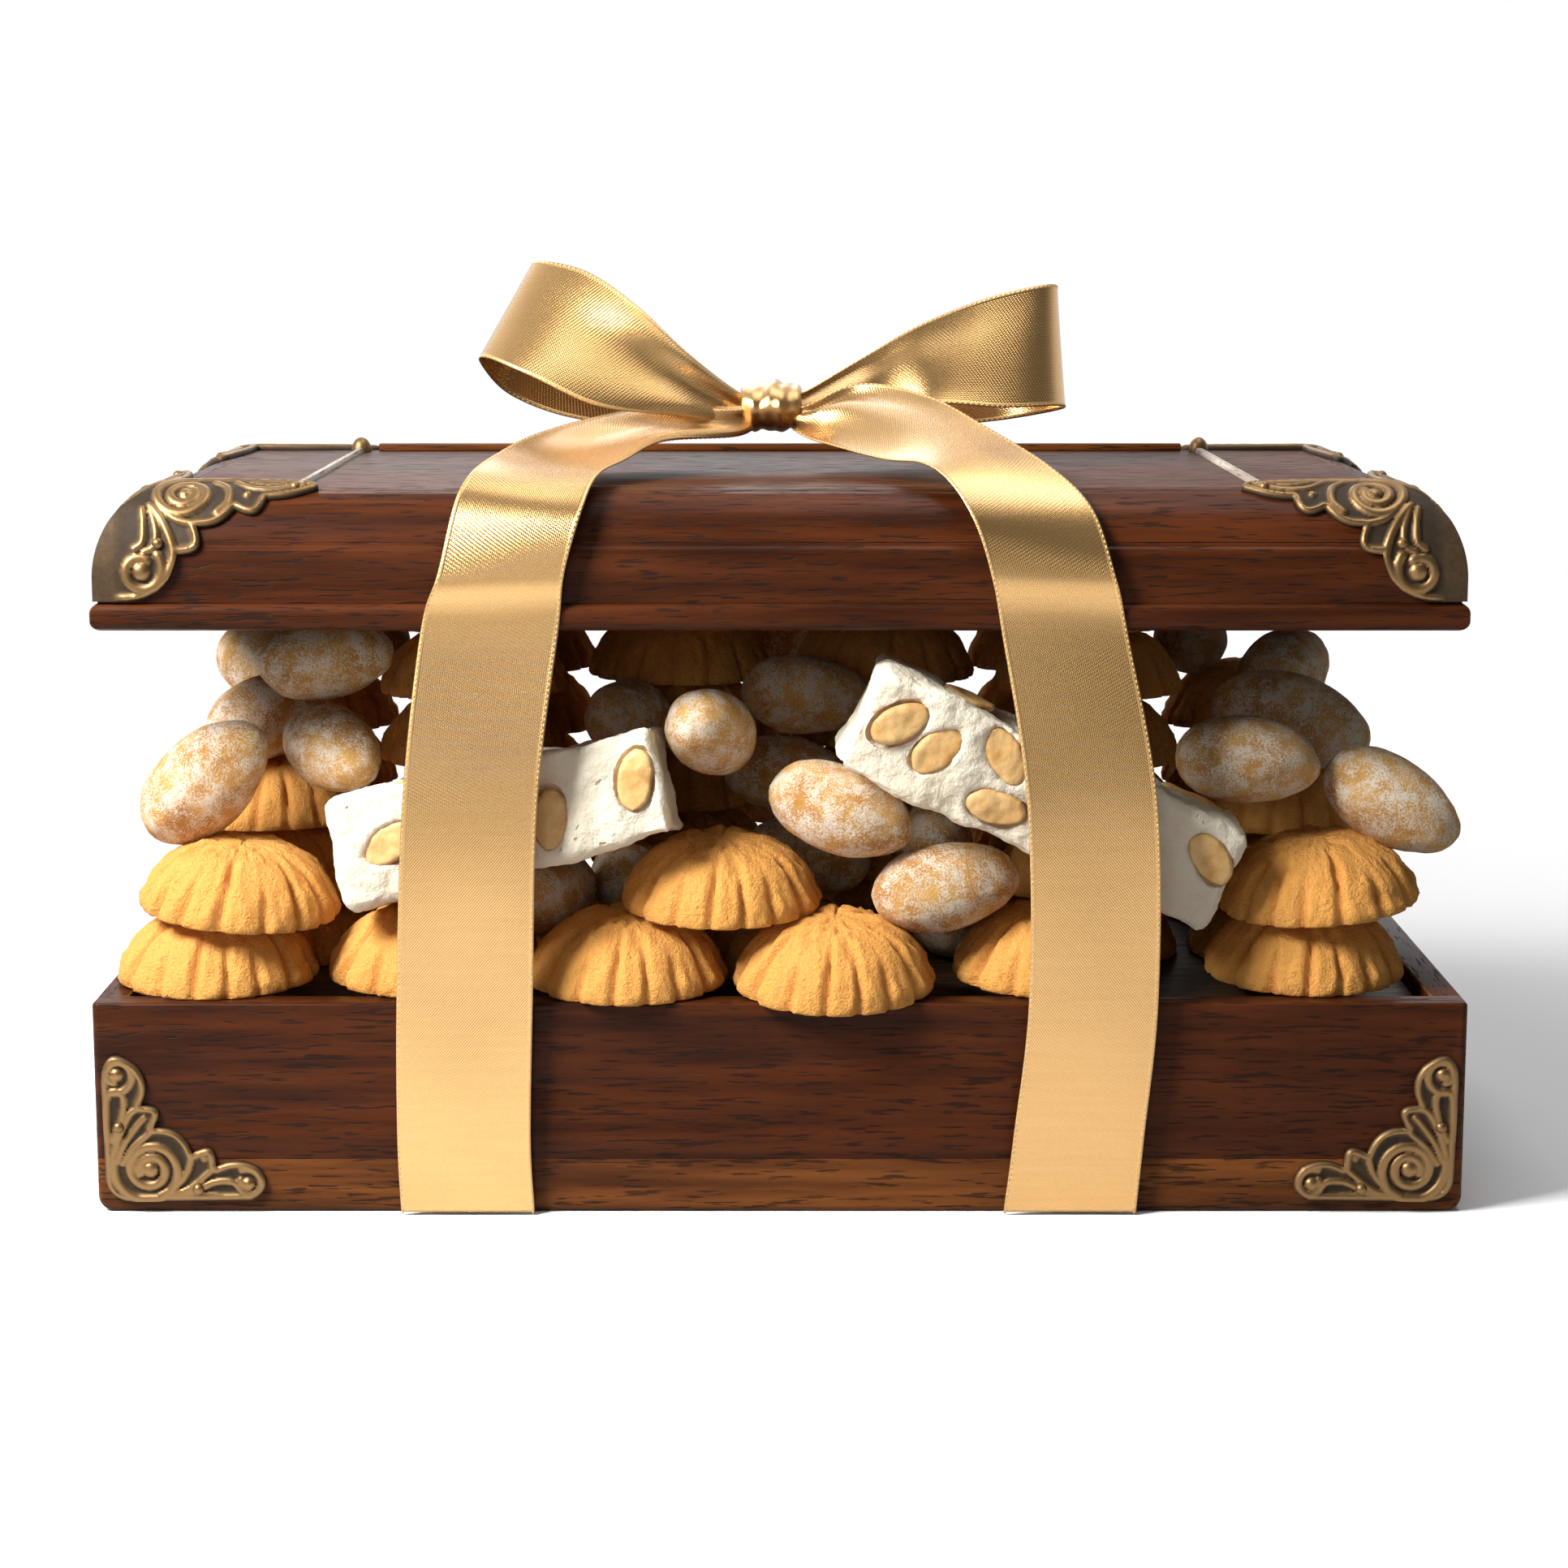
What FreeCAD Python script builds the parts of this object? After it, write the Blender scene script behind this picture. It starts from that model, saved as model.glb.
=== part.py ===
# A walnut sweet trunk: a shallow tray heaped with sweets, a lift-off domed lid with scroll corners
# standing on the heap, and a satin ribbon tied in a bow over the lid.
# Millimetres. The origin is the middle of the tray's underside, +X is right, +Y is back, +Z is up.
import FreeCAD
import Part
import Sketcher
import itertools
import math
import os
from FreeCAD import Placement, Rotation, Vector

# Driving dimensions
SIZES = {
    "box_width": 300, "box_depth": 150,
    "board_thick": 12, "board_round": 3.5, "upright_round": 1.5, "wall_round": 0.8,
    "wall_high": 35, "wall_thick": 7,
    "floor_drop": 4, "floor_thick": 3, "floor_gap": 0.4, "cleat_wide": 6, "cleat_high": 8,
    "lid_reveal": 2, "rim_thick": 6, "rim_wide": 13, "rim_round": 2.2,
    "dome_setback": 1.6, "dome_plinth": 5, "dome_rise": 19, "dome_run": 16, "flank_radius": 24,
    "moulding_foot": 8, "moulding_heel": 6, "ledge_wide": 6, "ledge_thick": 3,
    "panel_thick": 5, "panel_gap": 0.1,
    "bead_wide": 2.2, "bead_high": 1.1, "bead_from_middle": 104,
    "lip_wide": 2, "lip_high": 1.8, "lip_length": 200,
    "stud_wide": 5, "stud_high": 3.6, "shank_wide": 1.4, "shank_long": 3.5,
    "corner_sheet": 0.8, "corner_seat": 0.05, "plate_thick": 1.2,
    "pin_head": 2.6, "pin_shank": 1.0, "pin_long": 4, "pin_gap": 0.05, "head_seat": 0.02,
    "ribbon_thick": 0.5, "ribbon_gap": 0.3, "knot_wide": 14, "knot_deep": 19, "knot_high": 12.5,
    "knot_lift": 8.5,
    "cookie_wide": 45.5, "cookie_high": 15.5, "cookie_flutes": 16, "flute_deep": 1.3,
    "date_long": 35, "date_wide": 20.5, "sweet_gap": 0.15,
    "nougat_long": 74, "nougat_right_long": 90, "nougat_high": 25, "nougat_deep": 24,
    "nougat_worn": 1.5, "nut_long": 14,
}

doc = FreeCAD.newDocument("SweetTrunk")
sheet = doc.addObject("Spreadsheet::Sheet", "Sizes")


def add_size(name, value):
    row = len(sheet.getUsedCells()) // 2 + 1
    sheet.set(f"A{row}", name)
    sheet.set(f"B{row}", str(value))
    sheet.setAlias(f"B{row}", name)


for size_name, size_value in SIZES.items():
    add_size(size_name, size_value)
doc.recompute()


def size(name):
    return float(sheet.get(name))


nodes = {}


def keep(node, made):
    made.Label = node
    nodes[node] = made
    return made


def keep_shape(node, shape):
    feature = doc.addObject("Part::Feature", node)
    feature.Shape = shape
    return keep(node, feature)


# Sketches whose corners and radii are all bound to the sheet

def sketch_on(body, role, name):
    sketch = body.newObject("Sketcher::SketchObject", name)
    plane = next(f for f in body.Origin.OriginFeatures if f.Role == role)
    sketch.AttachmentSupport = [(plane, "")]
    sketch.MapMode = "FlatFace"
    return sketch


def bind(sketch, constraint, expression):
    index = sketch.addConstraint(constraint)
    sketch.setExpression(f"Constraints[{index}]", expression)


def arc_between(start, end, radius):
    """The short arc from start to end; a positive radius bulges to the right of the way it runs."""
    chord = end - start
    right = Vector(chord.y, -chord.x, 0).normalize()
    sagitta = abs(radius) - math.sqrt(radius ** 2 - (chord.Length / 2) ** 2)
    middle = (start + end) / 2 + right * math.copysign(sagitta, radius)
    return Part.ArcOfCircle(start, middle, end)


def closed_profile(sketch, corners, arcs=None):
    """Lines through corners given as pairs of expressions; arcs maps an edge to (radius, side)."""
    arcs = arcs or {}
    points = [Vector(*(float(sketch.evalExpression(e)) for e in corner), 0) for corner in corners]
    ends = []
    for i, start in enumerate(points):
        end = points[(i + 1) % len(points)]
        forward = True
        if i in arcs:
            radius, side = arcs[i]
            curve = arc_between(start, end, side * float(sketch.evalExpression(radius)))
            forward = side > 0
            index = sketch.addGeometry(curve)
            bind(sketch, Sketcher.Constraint("Radius", index, curve.Radius), radius)
        else:
            index = sketch.addGeometry(Part.LineSegment(start, end))
        ends.append((index, 1, 2) if forward else (index, 2, 1))
    for i, (index, begin, _) in enumerate(ends):
        last_index, _, last_end = ends[i - 1]
        sketch.addConstraint(Sketcher.Constraint("Coincident", last_index, last_end, index, begin))
        bind(sketch, Sketcher.Constraint("DistanceX", -1, 1, index, begin, points[i].x), corners[i][0])
        bind(sketch, Sketcher.Constraint("DistanceY", -1, 1, index, begin, points[i].y), corners[i][1])


def centred_rectangle(sketch, length, depth):
    half_length = f"({length}) / 2"
    half_depth = f"({depth}) / 2"
    closed_profile(sketch, [
        (f"-{half_length}", f"-{half_depth}"),
        (half_length, f"-{half_depth}"),
        (half_length, half_depth),
        (f"-{half_length}", half_depth),
    ])


def pad(body, sketch, length, both_sides=False):
    feature = body.newObject("PartDesign::Pad", "Pad")
    feature.Profile = sketch
    feature.SideType = "Symmetric" if both_sides else "One side"
    feature.setExpression("Length", length)
    doc.recompute()
    return feature


def pocket(body, sketch, length, both_sides=False):
    before = body.Shape.Volume
    feature = body.newObject("PartDesign::Pocket", "Pocket")
    feature.Profile = sketch
    feature.SideType = "Symmetric" if both_sides else "One side"
    feature.setExpression("Length", length)
    doc.recompute()
    if body.Shape.Volume > before - 0.01:
        raise RuntimeError(f"a pocket in {body.Name} removes nothing")
    return feature


def fillet(body, base, radius, wanted):
    names = [f"Edge{i + 1}" for i, edge in enumerate(base.Shape.Edges) if wanted(edge.BoundBox)]
    feature = body.newObject("PartDesign::Fillet", "Fillet")
    feature.Base = (base, names)
    feature.setExpression("Radius", radius)
    doc.recompute()
    return feature


def place(body, x="0", y="0", z="0", turn=0):
    body.Placement = Placement(Vector(), Rotation(Vector(0, 0, 1), turn))
    body.setExpression("Placement.Base.x", x)
    body.setExpression("Placement.Base.y", y)
    body.setExpression("Placement.Base.z", z)
    doc.recompute()


def board(node, length, depth, high, x="0", y="0", z="0"):
    body = doc.addObject("PartDesign::Body", node)
    sketch = sketch_on(body, "XY_Plane", "Plan")
    centred_rectangle(sketch, length, depth)
    blank = pad(body, sketch, high)
    place(body, x, y, z)
    return keep(node, body), blank


# Tray: a bottom board, four butted walls and the raised floor that the sweets stand on

RIM = "(Sizes.board_thick + Sizes.wall_high)"
near = 0.01


def make_tray():
    half_width = size("box_width") / 2
    half_depth = size("box_depth") / 2
    body, blank = board("base_board", "Sizes.box_width", "Sizes.box_depth", "Sizes.board_thick")
    ends = fillet(body, blank, "Sizes.board_round",
                  lambda box: box.ZMax < near and box.XLength < near)
    fillet(body, ends, "Sizes.upright_round",
           lambda box: box.YLength < near and abs(box.YMin) > half_depth - near
           and box.ZMin < size("board_thick") - near)

    for side, node in ((-1, "base_front_wall"), (1, "base_back_wall")):
        body, blank = board(node, "Sizes.box_width", "Sizes.wall_thick", "Sizes.wall_high",
                            y=f"{side} * (Sizes.box_depth - Sizes.wall_thick) / 2", z="Sizes.board_thick")
        outer = side * size("wall_thick") / 2
        uprights = fillet(body, blank, "Sizes.upright_round",
                          lambda box: box.ZLength > 1 and abs(box.YMin - outer) < near)
        fillet(body, uprights, "Sizes.wall_round",
               lambda box: box.ZMin > size("wall_high") - near and box.XLength > half_width
               and abs(box.YMin - outer) < near)
    for side, node in ((-1, "base_left_wall"), (1, "base_right_wall")):
        body, blank = board(node, "Sizes.wall_thick", "Sizes.box_depth - 2 * Sizes.wall_thick",
                            "Sizes.wall_high",
                            x=f"{side} * (Sizes.box_width - Sizes.wall_thick) / 2", z="Sizes.board_thick")
        outer = side * size("wall_thick") / 2
        fillet(body, blank, "Sizes.wall_round",
               lambda box: box.ZMin > size("wall_high") - near and box.YLength > 1
               and abs(box.XMin - outer) < near)

    floor_top = f"{RIM} - Sizes.floor_drop"
    board("raised_floor", "Sizes.box_width - 2 * Sizes.wall_thick - 2 * Sizes.floor_gap",
          "Sizes.box_depth - 2 * Sizes.wall_thick - 2 * Sizes.floor_gap", "Sizes.floor_thick",
          z=f"{floor_top} - Sizes.floor_thick")
    for side, node in ((-1, "floor_cleat_front"), (1, "floor_cleat_back")):
        board(node, "Sizes.box_width - 2 * Sizes.wall_thick - 2 * Sizes.floor_gap", "Sizes.cleat_wide",
              "Sizes.cleat_high",
              y=f"{side} * (Sizes.box_depth / 2 - Sizes.wall_thick - Sizes.cleat_wide / 2)",
              z=f"{floor_top} - Sizes.floor_thick - Sizes.cleat_high")


make_tray()

# Sweets: each is lowered onto what lies beneath it until it touches

rim_level = size("board_thick") + size("wall_high")
floor_level = rim_level - size("floor_drop")
cookie_radius = size("cookie_wide") / 2
UP = Vector(0, 0, 1)


def dome_ball(radius, high):
    """The radius of the ball of which a dome is the cap."""
    return (radius ** 2 + high ** 2) / (2 * high)


class Sweet:
    """A convex form and where it lies: a dome on its base; an egg, block or worn bar about its middle."""

    def __init__(self, form, half, placement):
        self.form = form
        self.half = half
        self.placement = placement
        self.radius = math.hypot(*half)

    def reach(self, way):
        """The point of the sweet that lies furthest along a direction."""
        local = self.placement.Rotation.inverted().multVec(way)
        a, b, c = self.half
        if self.form == "block":
            point = Vector(math.copysign(a, local.x), math.copysign(b, local.y), math.copysign(c, local.z))
        elif self.form == "bar":
            worn = size("nougat_worn")
            dull = worn / 2
            corners = [Vector(math.copysign(x, local.x), math.copysign(y, local.y), math.copysign(z, local.z))
                       for x, y, z in ((a, b - worn, c - worn), (a - worn, b, c - worn),
                                       (a - worn, b - worn, c), (a - dull, b - dull, c - dull))]
            point = max(corners, key=local.dot)
        elif self.form == "egg":
            stretched = Vector(a * local.x, b * local.y, c * local.z)
            point = Vector(a * stretched.x, b * stretched.y, c * stretched.z) / (stretched.Length or 1)
        else:
            ball = dome_ball(a, c)
            point = local * (ball / local.Length) + Vector(0, 0, c - ball)
            if point.z < 0:
                flat = math.hypot(local.x, local.y) or 1
                point = Vector(a * local.x / flat, a * local.y / flat, 0)
        return self.placement.multVec(point)


def nearest_to_origin(points):
    """The point of the points' hull nearest to the origin, and the corners that carry it."""
    found = []
    for a in points:
        found.append((a, [a]))
    for a, b in itertools.combinations(points, 2):
        along = b - a
        share = -a.dot(along) / (along.dot(along) or 1)
        if 0 < share < 1:
            found.append((a + along * share, [a, b]))
    for a, b, c in itertools.combinations(points, 3):
        u = b - a
        v = c - a
        uu, uv, vv = u.dot(u), u.dot(v), v.dot(v)
        flat = uu * vv - uv * uv
        if flat < 1e-9:
            continue
        s = (uv * a.dot(v) - vv * a.dot(u)) / flat
        t = (uv * a.dot(u) - uu * a.dot(v)) / flat
        if s > 0 and t > 0 and s + t < 1:
            found.append((a + u * s + v * t, [a, b, c]))
    return min(found, key=lambda pair: pair[0].Length)


def clearance(one, other):
    """The distance between two convex sweets, never more than the true one."""
    apart = one.placement.Base - other.placement.Base
    corners = []
    safe = 0.0
    for _ in range(30):
        length = apart.Length
        if length < near:
            return 0.0
        corner = one.reach(-apart) - other.reach(apart)
        safe = max(safe, apart.dot(corner) / length)
        if length - safe < near:
            break
        apart, corners = nearest_to_origin(corners + [corner])
    return safe


heap = []
groups = {}


def walls_near(sweet):
    """Short lengths of the tray's walls beside a sweet."""
    at = sweet.placement.Base
    thick = size("wall_thick") / 2
    high = rim_level / 2
    long = sweet.radius
    found = []
    for side in (-1, 1):
        y = side * (size("box_depth") / 2 - thick)
        x = side * (size("box_width") / 2 - thick)
        found.append(Sweet("block", (long, thick, high), Placement(Vector(at.x, y, high), Rotation())))
        found.append(Sweet("block", (thick, long, high), Placement(Vector(x, at.y, high), Rotation())))
    return found


def lower(node, form, half, x, y, rotation):
    """Lowers a sweet at (x, y) until it rests on the floor, a wall or another sweet."""
    top = max((s.reach(UP).z for s in heap), default=floor_level)
    sweet = Sweet(form, half, Placement(Vector(x, y, top + math.hypot(*half)), rotation))
    around = [s for s in heap + walls_near(sweet)
              if math.hypot(s.placement.Base.x - x, s.placement.Base.y - y) < s.radius + sweet.radius]
    for _ in range(60):
        free = sweet.reach(-UP).z - floor_level
        free = min([free] + [clearance(sweet, other) for other in around])
        drop = free - size("sweet_gap")
        if drop < 0.03:
            break
        sweet.placement.Base = sweet.placement.Base - UP * drop
    heap.append(sweet)
    groups.setdefault(node, []).append(sweet)
    return sweet


def cookie(node, x, y, turn=0, forward=0, right=0):
    """A cookie, turned about its middle and leaning forward and to the right by some degrees."""
    rotation = Rotation(Vector(0, 1, 0), right) * Rotation(Vector(1, 0, 0), forward) * Rotation(UP, turn)
    return lower(node, "dome", (cookie_radius, cookie_radius, size("cookie_high")), x, y, rotation)


def date(node, x, y, turn=0, dip=0, big=1.0):
    """A date whose long axis is turned from +X and dips at its far end by some degrees."""
    half_long = big * size("date_long") / 2
    half_wide = big * size("date_wide") / 2
    rotation = Rotation(UP, turn) * Rotation(Vector(0, 1, 0), dip)
    return lower(node, "egg", (half_long, half_wide, half_wide), x, y, rotation)


def nougat(node, long, x, y, turn=0, dip=0, roll=0):
    half = (size(long) / 2, size("nougat_deep") / 2, size("nougat_high") / 2)
    rotation = Rotation(UP, turn) * Rotation(Vector(0, 1, 0), dip) * Rotation(Vector(1, 0, 0), roll)
    return lower(node, "bar", half, x, y, rotation)


def heap_sweets():
    front = -size("box_depth") / 2
    back = size("box_depth") / 2
    # Stacks that carry the lid, and lower and looser ones around them
    for node, x, y, count, loose in (
        ("cookie_stack_left", -72, -2.5, 7, 1), ("cookie_stack_right", 72.4, -2.5, 7, 1),
        ("cookie_stacks_inner", -24, 26.2, 7, 1), ("cookie_stacks_inner", 25, 26.2, 7, 1),
        ("cookie_middle", 0, -16, 1, 0),
        ("cookie_stack_left_end", -119, -2, 3, 3), ("cookie_stack_right_end", 119.5, -2, 3, 2),
        ("cookie_stack_back_left", -118, back - 31, 4, 3), ("cookie_stack_back_right", 118, back - 31, 4, 3),
        ("cookies_back_row", -67.6, back - 30.6, 5, 1), ("cookies_back_row", 68.6, back - 30.6, 5, 1),
    ):
        for level in range(count):
            sway = 0.4 * math.sin(2.4 * level + x)
            lean = loose * math.sin(1.7 * level + x)
            cookie(node, x + sway, y + 0.4 * sway, turn=37 * level, forward=lean, right=0.7 * lean)
    # Front row, leaning out over the front wall
    for number, (x, inward, lean) in enumerate((
        (-126, 24, 2), (-79, 25.5, 3), (-34, 19, 4), (12, 13, 7), (61, 25, 3), (118, 27, 3),
    ), 1):
        cookie(f"cookie_front_{number}", x, front + inward, turn=23 * number, forward=lean)
    cookie("cookie_upper_1", -121, front + 25, turn=8, forward=4, right=5)
    cookie("cookie_upper_2", -13, front + 23, turn=50, forward=5)
    cookie("cookie_upper_3", 121, front + 27, turn=20, forward=4, right=-5)
    # Dates and nougat in the middle of the front
    date("dates_middle", -52, front + 37, turn=75, dip=5)
    date("dates_middle", 36.5, front + 17, turn=8, dip=-8)
    nougat("nougat_left", "nougat_long", -60, front + 16, turn=-4, dip=-14, roll=-8)
    date("dates_middle", 13.5, front + 18, turn=-12, dip=18)
    date("dates_middle", -15, front + 24, turn=70, dip=18, big=0.95)
    nougat("nougat_right", "nougat_right_long", 57, front + 15, turn=3, dip=25, roll=6)
    # Dates heaped at the left
    date("dates_left", -129, front + 29, turn=-15, dip=-42, big=1.08)
    date("dates_left", -101, front + 37, turn=-55, dip=10, big=0.95)
    date("dates_left", -120, -8, turn=50, dip=-10)
    date("dates_left", -103, front + 44, turn=14, dip=-6, big=0.92)
    date("dates_left", -124, 20, turn=-50, dip=5)
    date("dates_left", -101, back - 33, turn=85, dip=8, big=0.9)
    # Dates heaped at the right
    date("dates_right", 104, front + 25, turn=10, dip=5)
    date("dates_right", 137, front + 29, turn=-10, dip=30)
    date("dates_right", 119, -14, turn=-8, dip=14, big=1.12)
    date("dates_right", 122, 18, turn=60, dip=-10)
    date("dates_right", 102, back - 33, turn=95, dip=4, big=0.9)
    # Dates that fill the gaps between the stacks
    for x, y, turns in (
        (-37, -13, (80, 95, 70)), (38, -12, (100, 85, 95)), (4, -11, (4, -8, 10)),
        (0, back - 17.5, (0, 8, -6, 4)),
    ):
        for number, turn in enumerate(turns):
            date("dates_inside", x + 2 * (-1) ** number, y, turn=turn, dip=8, big=0.93)


heap_sweets()


def ring(radius, dent, level):
    """A scalloped ring: one outward arc for each flute."""
    count = int(size("cookie_flutes"))
    edges = []
    for flute in range(count):
        start, middle, end = (2 * math.pi * (flute + part) / count for part in (0, 0.5, 1))
        corners = [Vector(r * math.cos(a), r * math.sin(a), level)
                   for r, a in ((radius - dent, start), (radius, middle), (radius - dent, end))]
        edges.append(Part.Arc(*corners).toShape())
    return Part.Wire(edges)


def cookie_shape():
    """A fluted dome lofted through scalloped rings that shrink towards the crown."""
    ball = dome_ball(cookie_radius, size("cookie_high"))
    rings = []
    for share, dent in ((0, 0.8), (0.28, 1), (0.52, 1), (0.72, 0.9), (0.88, 0.7), (0.97, 0.3)):
        radius = math.sqrt(ball ** 2 - (ball - (1 - share) * size("cookie_high")) ** 2)
        rings.append(ring(radius, dent * size("flute_deep"), share * size("cookie_high")))
    return Part.makeLoft(rings, True, True)


def egg_shape(half):
    stretch = FreeCAD.Matrix()
    stretch.scale(*half)
    return Part.makeSphere(1).transformGeometry(stretch)


# Along the bar and across its face as shares of its half sizes, on the top face or not, and its slant
BAR_NUTS = {
    "nougat_left": (
        (-0.66, 0, False, 20), (0.3, -0.25, False, 75), (0.84, 0.1, False, 70), (0, 0.3, True, 30),
        (-0.5, -0.4, True, 80),
    ),
    "nougat_right": (
        (-0.8, 0.25, False, 50), (-0.58, 0.1, False, 65), (-0.27, 0.5, False, -40), (-0.2, -0.4, False, 10),
        (0.4, 0, False, 40), (0.85, 0.35, False, -30), (-0.5, 0.2, True, 20), (0.2, -0.3, True, 60),
        (0.7, 0.3, True, 0),
    ),
}


def nougat_nuts(half, spots):
    """Whole nuts set in the cut faces of a bar."""
    nuts = []
    for along, across, on_top, slant in spots:
        long = size("nut_long") / 2
        nut = egg_shape((long, 0.55 * long, 0.56 * long))
        y = across * half[1] if on_top else -half[1]
        z = half[2] if on_top else across * half[2]
        nut.Placement = Placement(Vector(along * half[0], y, z), Rotation(Vector(0, -1, 0), slant))
        nuts.append(nut)
    return nuts


def make_sweets():
    fluted = cookie_shape()
    all_nuts = []
    for node, sweets in groups.items():
        solids = []
        for sweet in sweets:
            if sweet.form == "dome":
                solid = fluted.copy()
            elif sweet.form == "egg":
                solid = egg_shape(sweet.half)
            else:
                a, b, c = sweet.half
                block = Part.makeBox(2 * a, 2 * b, 2 * c, Vector(-a, -b, -c))
                solid = block.makeChamfer(size("nougat_worn"), block.Edges)
                for nut in nougat_nuts(sweet.half, BAR_NUTS[node]):
                    inlay = nut.common(solid)
                    inlay.Placement = sweet.placement
                    all_nuts.append(inlay)
                    solid = solid.cut(nut)
            solid.Placement = sweet.placement
            solids.append(solid)
        keep_shape(node, solids[0] if len(solids) == 1 else Part.makeCompound(solids))
    keep_shape("nougat_nuts", Part.makeCompound([s for nut in all_nuts for s in nut.Solids]))


make_sweets()

# Lid: it is lowered onto the heap until the underside of its top rests on the tallest stack

lid_width = size("box_width") - 2 * size("lid_reveal")
lid_depth = size("box_depth") - 2 * size("lid_reveal")
dome_width = lid_width - 2 * size("dome_setback")
dome_depth = lid_depth - 2 * size("dome_setback")
dome_high = size("dome_plinth") + size("dome_rise")
inside_high = size("rim_thick") + dome_high - size("panel_thick")


def resting_level():
    reach_in = size("dome_run") + size("ledge_wide")
    level = rim_level
    for sweet in heap:
        far_x = max(abs(sweet.reach(Vector(side, 0, 0)).x) for side in (-1, 1))
        far_y = max(abs(sweet.reach(Vector(0, side, 0)).y) for side in (-1, 1))
        inside = far_x < dome_width / 2 - reach_in and far_y < dome_depth / 2 - reach_in
        level = max(level, sweet.reach(UP).z + size("sweet_gap") - (inside_high if inside else 0))
    return level


lid_level = resting_level()
add_size("lid_level", lid_level)
doc.recompute()
dome_level = lid_level + size("rim_thick")
lid_top = dome_level + dome_high

LID_WIDTH = "(Sizes.box_width - 2 * Sizes.lid_reveal)"
LID_DEPTH = "(Sizes.box_depth - 2 * Sizes.lid_reveal)"
DOME_WIDTH = f"({LID_WIDTH} - 2 * Sizes.dome_setback)"
DOME_DEPTH = f"({LID_DEPTH} - 2 * Sizes.dome_setback)"
DOME_LEVEL = "(Sizes.lid_level + Sizes.rim_thick)"
DOME_HIGH = "(Sizes.dome_plinth + Sizes.dome_rise)"
LID_TOP = f"({DOME_LEVEL} + {DOME_HIGH})"
# The dome's face is a flank arc that meets a tighter shoulder arc
FLANK = "Sizes.flank_radius"
SHOULDER = (f"((2 * {FLANK} * Sizes.dome_run - Sizes.dome_run ^ 2 - Sizes.dome_rise ^ 2)"
            f" / (2 * ({FLANK} - Sizes.dome_rise)))")
MEET_IN = f"({FLANK} + {FLANK} * (Sizes.dome_run - {FLANK}) / ({FLANK} - {SHOULDER}))"
MEET_UP = f"({FLANK} * (Sizes.dome_rise - {SHOULDER}) / ({FLANK} - {SHOULDER}))"
SIDES = (("front", 0), ("right", 90), ("back", 180), ("left", 270))


def mitre(body, length, depth):
    """Cuts both ends of a strip that runs along X at 45 degrees, from its outer face inwards."""
    sketch = sketch_on(body, "XY_Plane", "Mitres")
    for side in (-1, 1):
        closed_profile(sketch, [
            (f"{side} * (({length}) / 2 + 2)", "-2"),
            (f"{side} * (({length}) / 2 + 2)", f"{depth} + 2"),
            (f"{side} * (({length}) / 2 - {depth} - 2)", f"{depth} + 2"),
        ])
    pocket(body, sketch, "Sizes.box_depth", both_sides=True)


def lid_strip(node, turn, corners, arcs, length, depth, outer, level):
    """A mitred strip of the lid, made as the front one and turned to its side."""
    body = doc.addObject("PartDesign::Body", node)
    sketch = sketch_on(body, "YZ_Plane", "Section")
    closed_profile(sketch, corners, arcs)
    pad(body, sketch, length, both_sides=True)
    mitre(body, length, depth)
    out_x = round(math.sin(math.radians(turn)))
    out_y = -round(math.cos(math.radians(turn)))
    place(body, f"{out_x} * {outer}", f"{out_y} * {outer}", level, turn)
    return keep(node, body)


def make_lid_frame():
    rim_arcs = {2: ("Sizes.rim_round", 1), 4: ("Sizes.rim_round", 1)}
    rim_corners = [
        ("Sizes.rim_wide", "0"), ("Sizes.rim_wide", "Sizes.rim_thick"),
        ("Sizes.rim_round", "Sizes.rim_thick"), ("0", "Sizes.rim_thick - Sizes.rim_round"),
        ("0", "Sizes.rim_round"), ("Sizes.rim_round", "0"),
    ]
    under_panel = f"({DOME_HIGH} - Sizes.panel_thick)"
    ledge_edge = "(Sizes.dome_run + Sizes.ledge_wide)"
    dome_corners = [
        ("0", "0"), ("0", "Sizes.dome_plinth"), (MEET_IN, f"Sizes.dome_plinth + {MEET_UP}"),
        ("Sizes.dome_run", DOME_HIGH), ("Sizes.dome_run", under_panel), (ledge_edge, under_panel),
        (ledge_edge, f"{under_panel} - Sizes.ledge_thick"), ("Sizes.moulding_foot", "Sizes.moulding_heel"),
        ("Sizes.moulding_foot", "0"),
    ]
    dome_arcs = {1: (FLANK, -1), 2: (SHOULDER, -1)}
    for side, turn in SIDES:
        across = side in ("left", "right")
        lid_strip(f"lid_rim_{side}", turn, rim_corners, rim_arcs,
                  LID_DEPTH if across else LID_WIDTH, "Sizes.rim_wide",
                  f"({LID_WIDTH if across else LID_DEPTH}) / 2", "Sizes.lid_level")
        lid_strip(f"lid_moulding_{side}", turn, dome_corners, dome_arcs,
                  DOME_DEPTH if across else DOME_WIDTH, ledge_edge,
                  f"({DOME_WIDTH if across else DOME_DEPTH}) / 2", DOME_LEVEL)


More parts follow.
